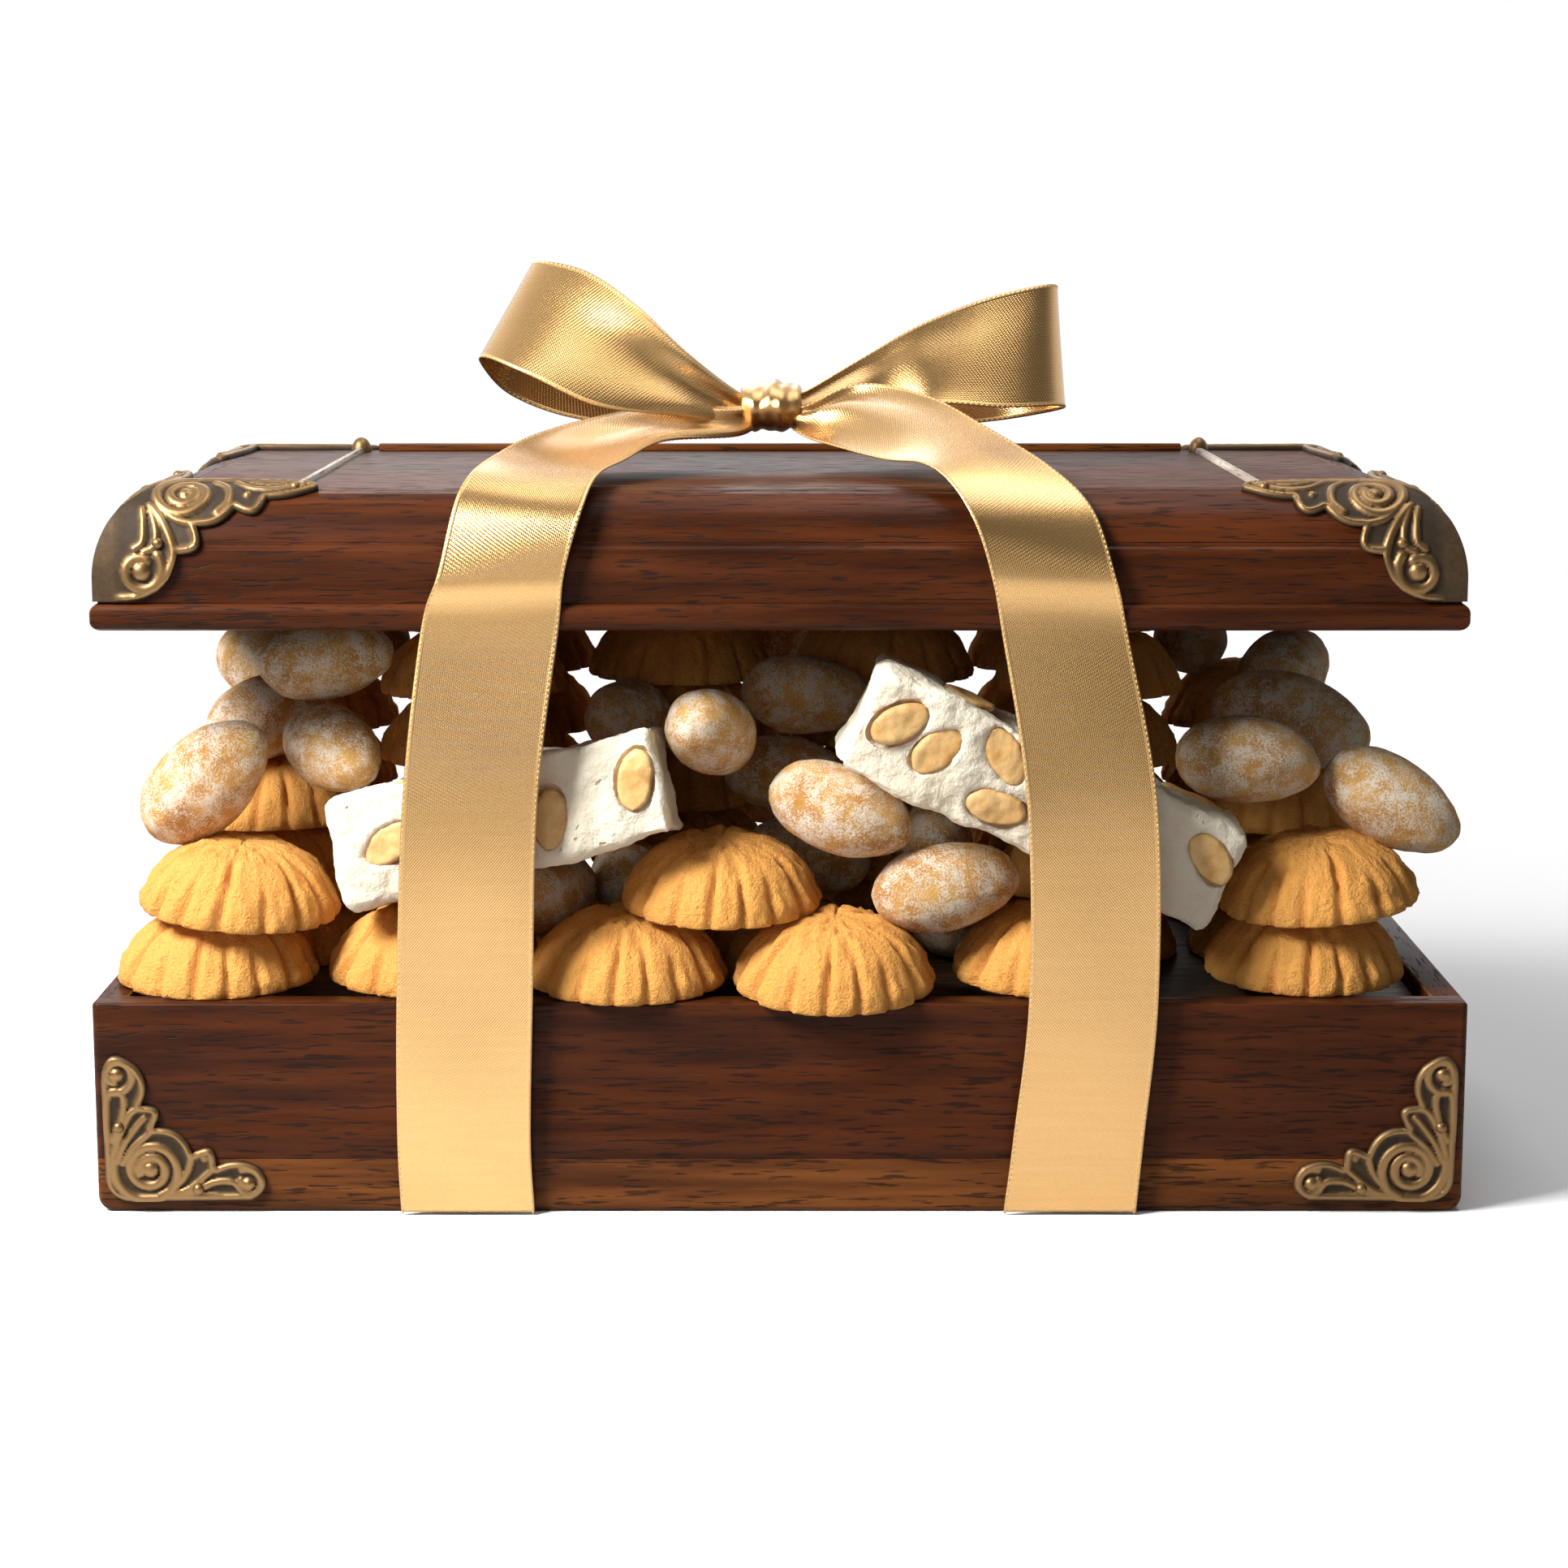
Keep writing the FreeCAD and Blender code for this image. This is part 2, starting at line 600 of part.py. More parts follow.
def make_lid_top():
    inset = "2 * (Sizes.dome_run + Sizes.panel_gap)"
    body, _ = board("lid_top_panel", f"{DOME_WIDTH} - {inset}", f"{DOME_DEPTH} - {inset}",
                    "Sizes.panel_thick", z=f"{LID_TOP} - Sizes.panel_thick")
    stud_back = f"({DOME_DEPTH} / 2 - Sizes.dome_run - Sizes.stud_wide)"
    holes = sketch_on(body, "XY_Plane", "StudHoles")
    for side in (-1, 1):
        middle = Vector(side * size("bead_from_middle"), holes.evalExpression(stud_back), 0)
        index = holes.addGeometry(Part.Circle(middle, UP, size("shank_wide") / 2))
        bind(holes, Sketcher.Constraint("DistanceX", -1, 1, index, 3, middle.x),
             f"{side} * Sizes.bead_from_middle")
        bind(holes, Sketcher.Constraint("DistanceY", -1, 1, index, 3, middle.y), stud_back)
        bind(holes, Sketcher.Constraint("Radius", index, size("shank_wide") / 2),
             "Sizes.shank_wide / 2 + Sizes.pin_gap")
    pocket(body, holes, "3 * Sizes.panel_thick", both_sides=True)

    back = dome_depth / 2 - size("dome_run") - size("stud_wide")
    bead_length = f"{DOME_DEPTH} - 2 * Sizes.dome_run - 1.5 * Sizes.stud_wide - Sizes.pin_gap"
    studs = []
    for side, node in ((-1, "lid_bead_left"), (1, "lid_bead_right")):
        body = doc.addObject("PartDesign::Body", node)
        sketch = sketch_on(body, "XZ_Plane", "Section")
        closed_profile(sketch, [("-Sizes.bead_wide / 2", "0"), ("Sizes.bead_wide / 2", "0"),
                                ("Sizes.bead_wide / 4", "Sizes.bead_high"),
                                ("-Sizes.bead_wide / 4", "Sizes.bead_high")],
                       {1: ("0.75 * Sizes.bead_wide", 1), 3: ("0.75 * Sizes.bead_wide", 1)})
        pad(body, sketch, bead_length, both_sides=True)
        place(body, f"{side} * Sizes.bead_from_middle", "-0.75 * Sizes.stud_wide", LID_TOP)
        keep(node, body)
        half = (size("stud_wide") / 2, size("stud_wide") / 2, size("stud_high"))
        foot = Vector(side * size("bead_from_middle"), back, lid_top)
        head = egg_shape(half).common(Part.makeBox(20, 20, 20, Vector(-10, -10, 0)))
        shank = Part.makeCylinder(size("shank_wide") / 2, size("shank_long"),
                                  Vector(0, 0, -size("shank_long")))
        stud = head.fuse(shank).removeSplitter()
        stud.translate(foot)
        studs.append(stud)
    keep_shape("lid_studs", Part.makeCompound(studs))
    board("lid_back_lip", "Sizes.lip_length", "Sizes.lip_wide", "Sizes.lip_high",
          y=f"{DOME_DEPTH} / 2 - Sizes.dome_run - Sizes.lip_wide / 2", z=LID_TOP)


make_lid_frame()
make_lid_top()

# Scroll corners: thin stampings with a scalloped edge, pinned on

def scalloped_face(outline):
    """A face from (x, z, bulge) corners; each bulge is the arc's rise over its chord to the next."""
    edges = []
    for i, (x, z, bulge) in enumerate(outline):
        start = Vector(x, 0, z)
        end = Vector(outline[(i + 1) % len(outline)][0], 0, outline[(i + 1) % len(outline)][1])
        chord = end - start
        middle = (start + end) / 2 + Vector(chord.z, 0, -chord.x) * bulge
        edges.append(Part.Arc(start, middle, end).toShape() if bulge else Part.makeLine(start, end))
    return Part.Face(Part.Wire(edges))


# Along the face from the corner, and up from the foot of the dome
LID_SCALLOPS = (
    (0, 0.3, 0), (5, 0.3, 0.19), (17.4, 10.3, 0.31), (21.3, 15.8, 0.13), (29.2, 19.1, 0.16),
    (35.8, 21.3, 0.07), (45.4, 22.8, 0.4), (46.2, 23.8, 0), (0, 23.8, 0),
)
LID_EYES = ((9.7, 7.2, 2.4), (18.4, 20.6, 3.2), (31.8, 21.8, 1.6))
LID_PINS = ((13.2, 12.5), (41.5, 23.2))
# Along the front from the corner, and up from the floor
BASE_SCALLOPS = (
    (2.2, 8, 0.2), (7, 2.7, 0), (34, 3, 0.33), (35.6, 10.4, 0.14), (26.4, 10.5, 0.49), (21.3, 13.5, 0.2),
    (12.9, 19.3, 0.5), (10.3, 24.3, 0.17), (9.7, 33, 0.5), (1.8, 29.6, 0),
)
BASE_EYES = ((5.2, 31.4, 2.4), (12, 9.9, 3.4), (33.4, 6.6, 2), (23.9, 12.4, 1.4))
BASE_PINS = ((5.4, 19.5), (22.5, 5.6))


def dome_skin(grow):
    """The front of the dome's section, grown outwards: foot, flank, shoulder and flat top."""
    run = size("dome_run")
    rise = size("dome_rise")
    flank = size("flank_radius")
    shoulder = (2 * flank * run - run ** 2 - rise ** 2) / (2 * (flank - rise))
    plinth = size("dome_plinth")
    toward = Vector(0, run - flank, rise - shoulder).normalize()
    flank_middle = Vector(0, flank, plinth)
    shoulder_middle = Vector(0, run, dome_high - shoulder)
    meet = flank_middle + toward * (flank + grow)
    half_flank = (Vector(0, -1, 0) + toward).normalize()
    half_shoulder = (toward + UP).normalize()
    foot = Vector(0, -grow, 0)
    spring = Vector(0, -grow, plinth)
    crown = Vector(0, run, dome_high + grow)
    return [
        Part.makeLine(foot, spring),
        Part.Arc(spring, flank_middle + half_flank * (flank + grow), meet).toShape(),
        Part.Arc(meet, shoulder_middle + half_shoulder * (shoulder + grow), crown).toShape(),
    ]


def dome_solid(grow, length):
    """The dome's face as a solid along X, grown outwards."""
    skin = dome_skin(grow)
    crown = skin[-1].Vertexes[-1].Point
    foot = skin[0].Vertexes[0].Point
    inner = Vector(0, crown.y, 0)
    edges = skin + [Part.makeLine(crown, inner), Part.makeLine(inner, foot)]
    return Part.Face(Part.Wire(edges)).extrude(Vector(length, 0, 0))


def face_depth(height):
    """How far in the dome's face lies at a height above its foot."""
    cut = Part.makeLine(Vector(0, -20, height), Vector(0, 60, height))
    return min(v.Point.y for edge in dome_skin(0) for v in edge.section(cut).Vertexes)


def face_normal(height):
    step = 0.05
    slope = (face_depth(height + step) - face_depth(height - step)) / (2 * step)
    return Vector(0, -1, slope).normalize()


def pin_and_hole(foot, way):
    """A round-headed pin with its head on foot, facing a way, and the hole that its shank needs."""
    radius = size("pin_shank") / 2
    deep = size("pin_long")
    gap = size("pin_gap")
    head = Part.makeSphere(size("pin_head") / 2, Vector(), UP, 0, 90, 360)
    pin = head.fuse(Part.makeCylinder(radius, deep, Vector(0, 0, -deep))).removeSplitter()
    hole = Part.makeCylinder(radius + gap, 2 * deep, Vector(0, 0, -deep - gap))
    for shape in (pin, hole):
        shape.Placement = Placement(foot, Rotation(UP, way))
    return pin, hole


def lid_corner():
    """One corner at the dome's own corner, along +X and +Y, with its pins and their holes."""
    length = LID_SCALLOPS[-2][0] + 2
    seat = size("corner_seat")
    sheet_face = seat + size("corner_sheet")
    start = Vector(-4, 0, 0)
    skin = dome_solid(sheet_face, length + 4).cut(dome_solid(seat, length + 4))
    skin.translate(start)
    outline = [(x if x else -4, z, bulge) for x, z, bulge in LID_SCALLOPS]
    leaf = skin.common(scalloped_face(outline).extrude(Vector(0, 40, 0)).translated(Vector(0, -4, 0)))
    for along, height, radius in LID_EYES:
        way = face_normal(height)
        eye = Vector(along, face_depth(height), height) + way * sheet_face
        boss = Part.makeSphere(radius, eye - way * radius * 0.55)
        leaf = leaf.fuse(boss.cut(dome_solid(sheet_face - 0.2, length)))
    pins = []
    holes = []
    for along, height in LID_PINS:
        way = face_normal(height)
        foot = Vector(along, face_depth(height), height) + way * (sheet_face + size("head_seat"))
        pin, hole = pin_and_hole(foot, way)
        leaf = leaf.cut(hole)
        pins.append(pin)
        holes.append(hole)
    # The leaf ends in the mitre plane x = y, where its mirror image meets it
    keep_side = Part.makePolygon([Vector(x, y, -5) for x, y in ((-6, -6), (60, -6), (60, 60), (-6, -6))])
    leaf = leaf.common(Part.Face(keep_side).extrude(Vector(0, 0, 60)))
    across = Vector(1, -1, 0)
    pins += [pin.mirror(Vector(), across) for pin in pins]
    holes += [hole.mirror(Vector(), across) for hole in holes]
    return leaf.fuse(leaf.mirror(Vector(), across)).removeSplitter(), pins, holes


def make_corners():
    corner, pins, holes = lid_corner()
    all_pins = []
    all_holes = []
    at = Vector(-dome_width / 2, -dome_depth / 2, dome_level)
    for node, flips in (
        ("lid_corner_front_left", ()), ("lid_corner_front_right", ((1, 0),)),
        ("lid_corner_back_left", ((0, 1),)), ("lid_corner_back_right", ((1, 0), (0, 1))),
    ):
        shapes = [shape.translated(at) for shape in [corner] + pins + holes]
        for x, y in flips:
            shapes = [shape.mirror(Vector(), Vector(x, y, 0)) for shape in shapes]
        keep_shape(node, shapes[0])
        all_pins += shapes[1:len(pins) + 1]
        all_holes += shapes[len(pins) + 1:]
    for side, _ in SIDES:
        drill(f"lid_moulding_{side}", all_holes)
    keep_shape("lid_corner_pins", Part.makeCompound(all_pins))

    thick = size("plate_thick")
    at = Vector(-size("box_width") / 2, -size("box_depth") / 2 - size("corner_seat"), 0)
    base_pins = []
    base_holes = []
    for node, side in (("base_corner_left", -1), ("base_corner_right", 1)):
        plate = scalloped_face(BASE_SCALLOPS).extrude(Vector(0, -thick, 0))
        for along, height, radius in BASE_EYES:
            boss = Part.makeSphere(radius, Vector(along, 0.45 * radius - thick, height))
            plate = plate.fuse(boss.cut(Part.makeBox(80, 20, 80, Vector(-20, -0.4, -20))))
        pins = []
        holes = []
        for x, z in BASE_PINS:
            pin, hole = pin_and_hole(Vector(x, -thick - size("head_seat"), z), Vector(0, -1, 0))
            plate = plate.cut(hole)
            pins.append(pin)
            holes.append(hole)
        shapes = [shape.translated(at) for shape in [plate.removeSplitter()] + pins + holes]
        if side > 0:
            shapes = [shape.mirror(Vector(), Vector(1, 0, 0)) for shape in shapes]
        keep_shape(node, shapes[0])
        base_pins += shapes[1:len(pins) + 1]
        base_holes += shapes[len(pins) + 1:]
    for node in ("base_front_wall", "base_board"):
        drill(node, base_holes)
    keep_shape("base_corner_pins", Part.makeCompound(base_pins))


def drill(node, holes):
    """Cuts those pin holes that reach into a wooden piece."""
    solid = nodes[node].Shape
    tool = doc.addObject("Part::Feature", f"{node}_holes")
    tool.Shape = Part.makeCompound([hole for hole in holes if hole.BoundBox.intersect(solid.BoundBox)])
    cut = doc.addObject("Part::Cut", f"{node}_drilled")
    cut.Base = nodes[node]
    cut.Tool = tool
    doc.recompute()
    nodes[node].Label = f"{node}_blank"
    keep(node, cut)


make_corners()

# Ribbon: bow loops and tails as thin strips lofted through hand-placed crossings, and the knot

lid_front = -lid_depth / 2
knot_middle = Vector(-2, -12, lid_top + size("knot_lift") + size("knot_high") / 2)
# Each crossing is the strip's two edges, from the knot outwards: x, y, and z above the lid's top.
# Where x is None the strip ends beside the knot.
LEFT_LOOP = (
    ((None, -15, 18), (None, -16, 11)), ((-21, -17, 27), (-22, -22, 13)),
    ((-32.5, -13, 37.5), (-41, -26, 15.5)), ((-44, -6, 45), (-57, -24, 22.5)),
    ((-55, 1, 47.5), (-67, -16, 26)), ((-57.5, 8, 46), (-69, -6, 24)),
    ((-50, 15, 42), (-63, 3, 16.5)), ((-36, 13, 33), (-48, 4, 11)), ((-20, 3, 22), (-24, 0, 9)),
    ((None, -5, 17), (None, -6, 10)),
)
RIGHT_LOOP = (
    ((None, -15, 18), (None, -16, 11)), ((19, -6, 25.5), (22, -11, 13.5)), ((32.5, -3, 33), (36, -14, 15.5)),
    ((48, 0, 39), (51, -13, 14.5)), ((62, 6, 42), (64, -6, 14.5)), ((65, 13, 41), (65.5, 4, 13)),
    ((58, 21, 38), (52, 13, 10)), ((40, 18, 31), (34, 11, 8.5)), ((18, 5, 24), (16, 2, 8.5)),
    ((None, -5, 17), (None, -6, 10)),
)
# The tails' crossings have a share of the way from the knot to the lid's front in place of y
LEFT_TAIL_TOP = (
    ((None, 0.11, 15), (None, 0.13, 8.5)), ((-31, 0.07, 14.5), (-26, 0.33, 8)),
    ((-50, 0.28, 11), (-34, 0.59, 5)), ((-61, 0.57, 7), (-39.5, 0.84, 2.5)),
    ((-68.5, 0.9, 0.5), (-42.5, 1, -5)),
)
RIGHT_TAIL_TOP = (
    ((None, 0.11, 15), (None, 0.13, 8.5)), ((18, 0.05, 20), (12, 0.33, 7)), ((33, 0.25, 18), (23, 0.56, 5)),
    ((47, 0.49, 11), (31, 0.77, 5)), ((59, 0.75, 4), (36.5, 0.9, 1.5)), ((67, 0.93, -4), (41.5, 1, -6.5)),
)
# Down the front: the two edges' x, how far off the lid's rim, and the share of the way to the floor
LEFT_TAIL_DROP = (
    (-73, -46, 1.4, 0.11), (-77, -47.5, 0, 0.19), (-81, -52, 5.4, 0.42), (-83, -53.5, 5.2, 0.69),
    (-83.5, -54.4, 4.6, 0.89), (-83, -53.8, 4, 1),
)
RIGHT_TAIL_DROP = (
    (71.5, 45, 1.4, 0.11), (74.5, 47.5, 0, 0.19), (81, 53, 5.4, 0.42), (82, 54, 5.2, 0.69),
    (79.5, 51, 4.6, 0.89), (78, 49, 4, 1),
)


def ribbon_strip(crossings):
    """A thin solid through crossings, each a pair of edge points, with smooth edges along it."""
    middles = [(a + b) / 2 for a, b in crossings]
    way = [0.0]
    for i in range(1, len(middles)):
        way.append(way[-1] + (middles[i] - middles[i - 1]).Length)
    corners = [[], [], [], []]
    for i, (a, b) in enumerate(crossings):
        along = middles[min(i + 1, len(middles) - 1)] - middles[max(i - 1, 0)]
        half = along.cross(b - a).normalize() * size("ribbon_thick") / 2
        for line, point in zip(corners, (a + half, b + half, b - half, a - half)):
            line.append(point)
    edges = []
    for line in corners:
        curve = Part.BSplineCurve()
        curve.interpolate(Points=line, Parameters=way)
        edges.append(curve.toShape())
    same_way = 1
    faces = [Part.makeRuledSurface(edges[i - 1], edges[i], same_way) for i in range(4)]
    for end in (0, -1):
        loop = [line[end] for line in corners]
        faces.append(Part.Face(Part.makePolygon(loop + loop[:1])))
    shell = Part.Shell([face for made in faces for face in made.Faces])
    shell.sewShape()
    solid = Part.Solid(shell)
    solid.fix(1e-4, 1e-4, 1e-4)
    if solid.Volume < 0:
        solid.reverse()
    return solid


def over_lid(edges, side):
    beside_knot = knot_middle.x + side * (size("knot_wide") / 2 + size("ribbon_gap"))
    crossings = []
    for pair in edges:
        crossings.append(tuple(Vector(beside_knot if x is None else x, y, lid_top + z) for x, y, z in pair))
    return crossings


def to_front(edges):
    way = lid_front - knot_middle.y
    return [tuple((x, knot_middle.y + share * way, z) for x, share, z in pair) for pair in edges]


def down_front(drops):
    off = size("ribbon_gap") + size("ribbon_thick") / 2
    floor = size("ribbon_gap") + size("ribbon_thick")
    crossings = []
    for outer, inner, away, share in drops:
        z = lid_top - share * (lid_top - floor)
        crossings.append((Vector(outer, lid_front - off - away, z), Vector(inner, lid_front - off - away, z)))
    return crossings


def make_ribbon():
    keep_shape("bow_left_loop", ribbon_strip(over_lid(LEFT_LOOP, -1)))
    keep_shape("bow_right_loop", ribbon_strip(over_lid(RIGHT_LOOP, 1)))
    left_tail = over_lid(to_front(LEFT_TAIL_TOP), -1) + down_front(LEFT_TAIL_DROP)
    right_tail = over_lid(to_front(RIGHT_TAIL_TOP), 1) + down_front(RIGHT_TAIL_DROP)
    keep_shape("ribbon_left_tail", ribbon_strip(left_tail))
    keep_shape("ribbon_right_tail", ribbon_strip(right_tail))
    # The knot is a short wrap of ribbon, fuller in its middle than at its two ends
    wires = []
    for share, fullness in ((-0.5, 0.8), (-0.25, 0.98), (0.25, 1), (0.5, 0.82)):
        oval = Part.Ellipse(Vector(), fullness * size("knot_deep") / 2, fullness * size("knot_high") / 2)
        wire = Part.Wire(oval.toShape())
        turn = Rotation(Vector(0, 1, 0), Vector(0, 0, 1), Vector(1, 0, 0), "ZXY")
        wire.Placement = Placement(knot_middle + Vector(share * size("knot_wide"), 0, 0), turn)
        wires.append(wire)
    keep_shape("bow_knot", Part.makeLoft(wires, True, False))


make_ribbon()
doc.recompute()

for made in doc.Objects:
    if "Invalid" in made.State or "Error" in made.State:
        raise RuntimeError(f"{made.Label} did not build: {made.State}")
os.makedirs("parts", exist_ok=True)
for node, made in nodes.items():
    if made.Shape.isNull() or not made.Shape.isValid() or not made.Shape.Solids:
        raise RuntimeError(f"{node} has no valid solid")
    made.Shape.exportStep(f"parts/{node}.step")
print(f"{len(nodes)} nodes, lid at {lid_level:.1f}, top {lid_top:.1f}")
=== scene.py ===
import math
import bmesh
import bpy
import numpy as np
from mathutils import Matrix, Vector, noise
from mathutils.geometry import delaunay_2d_cdt


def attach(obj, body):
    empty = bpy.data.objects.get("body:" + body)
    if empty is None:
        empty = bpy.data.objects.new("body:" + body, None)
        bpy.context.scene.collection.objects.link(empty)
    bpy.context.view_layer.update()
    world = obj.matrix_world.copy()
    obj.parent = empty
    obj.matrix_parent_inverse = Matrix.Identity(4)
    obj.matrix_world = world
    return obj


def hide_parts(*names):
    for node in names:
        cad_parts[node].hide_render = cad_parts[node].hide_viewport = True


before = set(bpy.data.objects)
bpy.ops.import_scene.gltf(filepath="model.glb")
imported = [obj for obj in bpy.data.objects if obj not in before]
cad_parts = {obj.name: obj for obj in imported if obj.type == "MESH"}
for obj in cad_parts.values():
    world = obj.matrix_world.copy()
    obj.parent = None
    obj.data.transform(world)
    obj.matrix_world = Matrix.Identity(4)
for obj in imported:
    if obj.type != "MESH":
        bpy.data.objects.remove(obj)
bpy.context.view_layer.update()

# Tray
# A shallow walnut tray: a bottom board whose edge shows as a golden strip, and four walls butted and glued
# on top of it. Rubbed and waxed, with the arrises worn pale by handling.

mm = 0.001
weld = 2e-6
tray_arris = 0.45 * mm


class Tone:
    """One socket in a material's tree. Sums on values add Math nodes."""

    def __init__(self, tree, socket=None):
        self.tree = tree
        self.socket = socket

    def add(self, kind, settings=None, inputs=None, output=0):
        """One node: its settings, then the values or links of its sockets. Gives one of its outputs."""
        made = self.tree.nodes.new("ShaderNode" + kind)
        for name, value in (settings or {}).items():
            setattr(made, name, value)
        for name, value in (inputs or {}).items():
            if isinstance(value, Tone):
                self.tree.links.new(value.socket, made.inputs[name])
            else:
                made.inputs[name].default_value = value
        return Tone(self.tree, made.outputs[output])

    def sum(self, operation, *values):
        return self.add("Math", {"operation": operation}, dict(enumerate(values)))

    def __add__(self, other):
        return self.sum("ADD", self, other)

    __radd__ = __add__

    def __sub__(self, other):
        return self.sum("SUBTRACT", self, other)

    def __rsub__(self, other):
        return self.sum("SUBTRACT", other, self)

    def __mul__(self, other):
        return self.sum("MULTIPLY", self, other)

    __rmul__ = __mul__

    def step(self, low, high):
        """0 below low, 1 above high and smooth between."""
        return self.add("MapRange", {"interpolation_type": "SMOOTHSTEP"},
                        {"Value": self, "From Min": low, "From Max": high})

    def stretched(self, *scale):
        return self.add("Mapping", {"vector_type": "POINT"}, {"Vector": self, "Scale": scale})

    def grain(self, scale, detail=3.0, rough=0.55):
        return self.add("TexNoise", None,
                        {"Vector": self, "Scale": scale, "Detail": detail, "Roughness": rough})

    def part(self, axis):
        """One of a vector's three parts."""
        return self.add("SeparateXYZ", None, {0: self}, axis)

    def marked(self, name):
        """A value that the mesh carries at its points."""
        return self.add("Attribute", {"attribute_name": name}, None, 2)

    def between(self, low, high):
        """The colour between low and high that a value stands for."""
        return self.add("Mix", {"data_type": "RGBA"},
                        {"Factor": self, 6: low if isinstance(low, Tone) else (*low, 1),
                         7: high if isinstance(high, Tone) else (*high, 1)}, 2)

    def bump(self, deep, strength):
        return self.add("Bump", None, {"Height": self, "Distance": deep, "Strength": strength})


def finish_of(name, paint, **fixed):
    """A material; paint takes its Object coordinates and gives what varies over the surface."""
    made = bpy.data.materials.new(name)
    made.use_nodes = True
    shader = made.node_tree.nodes["Principled BSDF"]
    for socket, value in fixed.items():
        shader.inputs[socket.replace("_", " ")].default_value = value
    root = Tone(made.node_tree)
    for socket, value in paint(root, root.add("TexCoord", None, None, 3)).items():
        made.node_tree.links.new(value.socket, shader.inputs[socket])
    return made


def walnut(name, dark, pale, grain_along, pore_dark=0.72):
    """Open-pored walnut: broad streaks and short dark pores along the grain."""
    def drawn(long, fine):
        return (long, fine, fine) if grain_along == "x" else (fine, long, fine)

    def paint(root, place):
        streak = place.stretched(*drawn(18, 260)).grain(1.0, 5.0, 0.6).step(0.3, 0.72)
        cloud = place.stretched(9, 9, 16).grain(1.0, 2.0).step(0.35, 0.7)
        pore = place.stretched(*drawn(130, 1500)).grain(1.0, 2.0, 0.5).step(0.56, 0.65)
        rubbed = streak * 0.7 + cloud * 0.3
        colour = (pore * pore_dark).between(rubbed.between(dark, pale), (0.012, 0.006, 0.004))
        ripple = 1 - pore * 0.8 + streak * 0.15
        return {"Base Color": colour, "Roughness": 0.36 + pore * 0.3 + cloud * 0.1,
                "Normal": ripple.bump(0.25 * mm, 0.5)}
    return finish_of(name, paint, Coat_Weight=0.05, Coat_Roughness=0.24, Specular_IOR_Level=0.07)


def laid_out(name, data):
    """A mesh, lamp or camera as an object in the scene, at the origin."""
    made = bpy.data.objects.new(name, data)
    bpy.context.scene.collection.objects.link(made)
    return made


def plain_from(made):
    """Turns an object's evaluated form into its own plain mesh."""
    evaluated = made.evaluated_get(bpy.context.evaluated_depsgraph_get())
    mesh = bpy.data.meshes.new_from_object(evaluated)
    made.modifiers.clear()
    made.data = mesh


def dressed(node, material, worn=None, bevel=0.0):
    """A CAD piece's own form with its arrises eased, in place of the CAD piece."""
    form = bmesh.new()
    form.from_mesh(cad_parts[node].data)
    bmesh.ops.remove_doubles(form, verts=form.verts, dist=weld)
    bmesh.ops.dissolve_limit(form, angle_limit=0.01, verts=form.verts, edges=form.edges)
    mesh = bpy.data.meshes.new(node + "_form")
    form.to_mesh(mesh)
    form.free()
    made = laid_out(node + "_form", mesh)
    mesh.materials.append(material)
    if bevel:
        mesh.materials.append(worn)
        eased = made.modifiers.new("Eased", "BEVEL")
        eased.width = bevel
        eased.segments = 2
        eased.limit_method = "ANGLE"
        eased.angle_limit = math.radians(38)
        eased.material = 1
        eased.use_clamp_overlap = True
        plain_from(made)
    made.data.shade_smooth()
    made.data.set_sharp_from_angle(angle=math.radians(32))
    return made


def seat(made, body, slot, *nodes):
    """Rides a piece on its body and lets it stand for CAD nodes, which it hides; slot is not used."""
    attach(made, body)
    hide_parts(*nodes)


walnut_long = walnut("walnut_long", (0.023, 0.0055, 0.0014), (0.092, 0.0225, 0.0055), "x")
walnut_across = walnut("walnut_across", (0.02, 0.0048, 0.0013), (0.08, 0.0195, 0.005), "y")
# Golden walnut: the bottom board's own tone, and on the lid's back lip a painted highlight.
golden_walnut_and_edge_highlight = walnut("golden_walnut_and_edge_highlight", (0.05, 0.0135, 0.0033), (0.2, 0.064, 0.0145), "x")
worn_arris = walnut("worn_arris", (0.06, 0.019, 0.006), (0.2, 0.075, 0.024), "x", 0.3)

tray_wood = {
    "base_board": golden_walnut_and_edge_highlight, "base_front_wall": walnut_long, "base_back_wall": walnut_long,
    "base_left_wall": walnut_across, "base_right_wall": walnut_across,
}
for node, wood in tray_wood.items():
    seat(dressed(node, wood, worn_arris, tray_arris), "tray", "walnut", node)

# Scroll corners of the tray
# Antique brass stampings at the front corners: scrolls and leaf flutes with a rolled edge, darkened in the
# hollows and rubbed bright on top, each pinned flat to the front wall.

tray_half_wide = 150
tray_half_deep = 75
rubbed_relief = 0.75
ground_high = 0.25
edge_high = 0.8
brass_thick = 0.55
brass_seat = 0.05


def old_brass(root, place):
    """Dark in the hollows and bright where the relief stands up, with fine specks."""
    relief = root.marked("relief")
    speck = place.grain(900, 4.0, 0.65)
    cloud = place.grain(130, 3.0)
    shine = (relief + speck * 0.25 + cloud * 0.25 - 0.25).step(0.1, 0.95)
    return {"Base Color": shine.between((0.02, 0.012, 0.0065), (0.235, 0.138, 0.058)),
            "Roughness": 0.6 - shine * 0.24 + speck * 0.12, "Metallic": 0.6 + shine * 0.35,
            "Normal": (speck * 0.6 + cloud * 0.3).bump(0.12 * mm, 0.5)}


antique_brass = finish_of("antique_brass", old_brass)


def mark(mesh, name, values):
    """Gives each point of a mesh a value that its material reads."""
    mesh.attributes.new(name, "FLOAT", "POINT").data.foreach_set("value", values)


def rubbed_brass(name, node):
    """A small brass piece with its own form, bright where it is rubbed."""
    made = dressed(node, antique_brass)
    made.name = name
    mark(made.data, "relief", [rubbed_relief] * len(made.data.vertices))
    return made


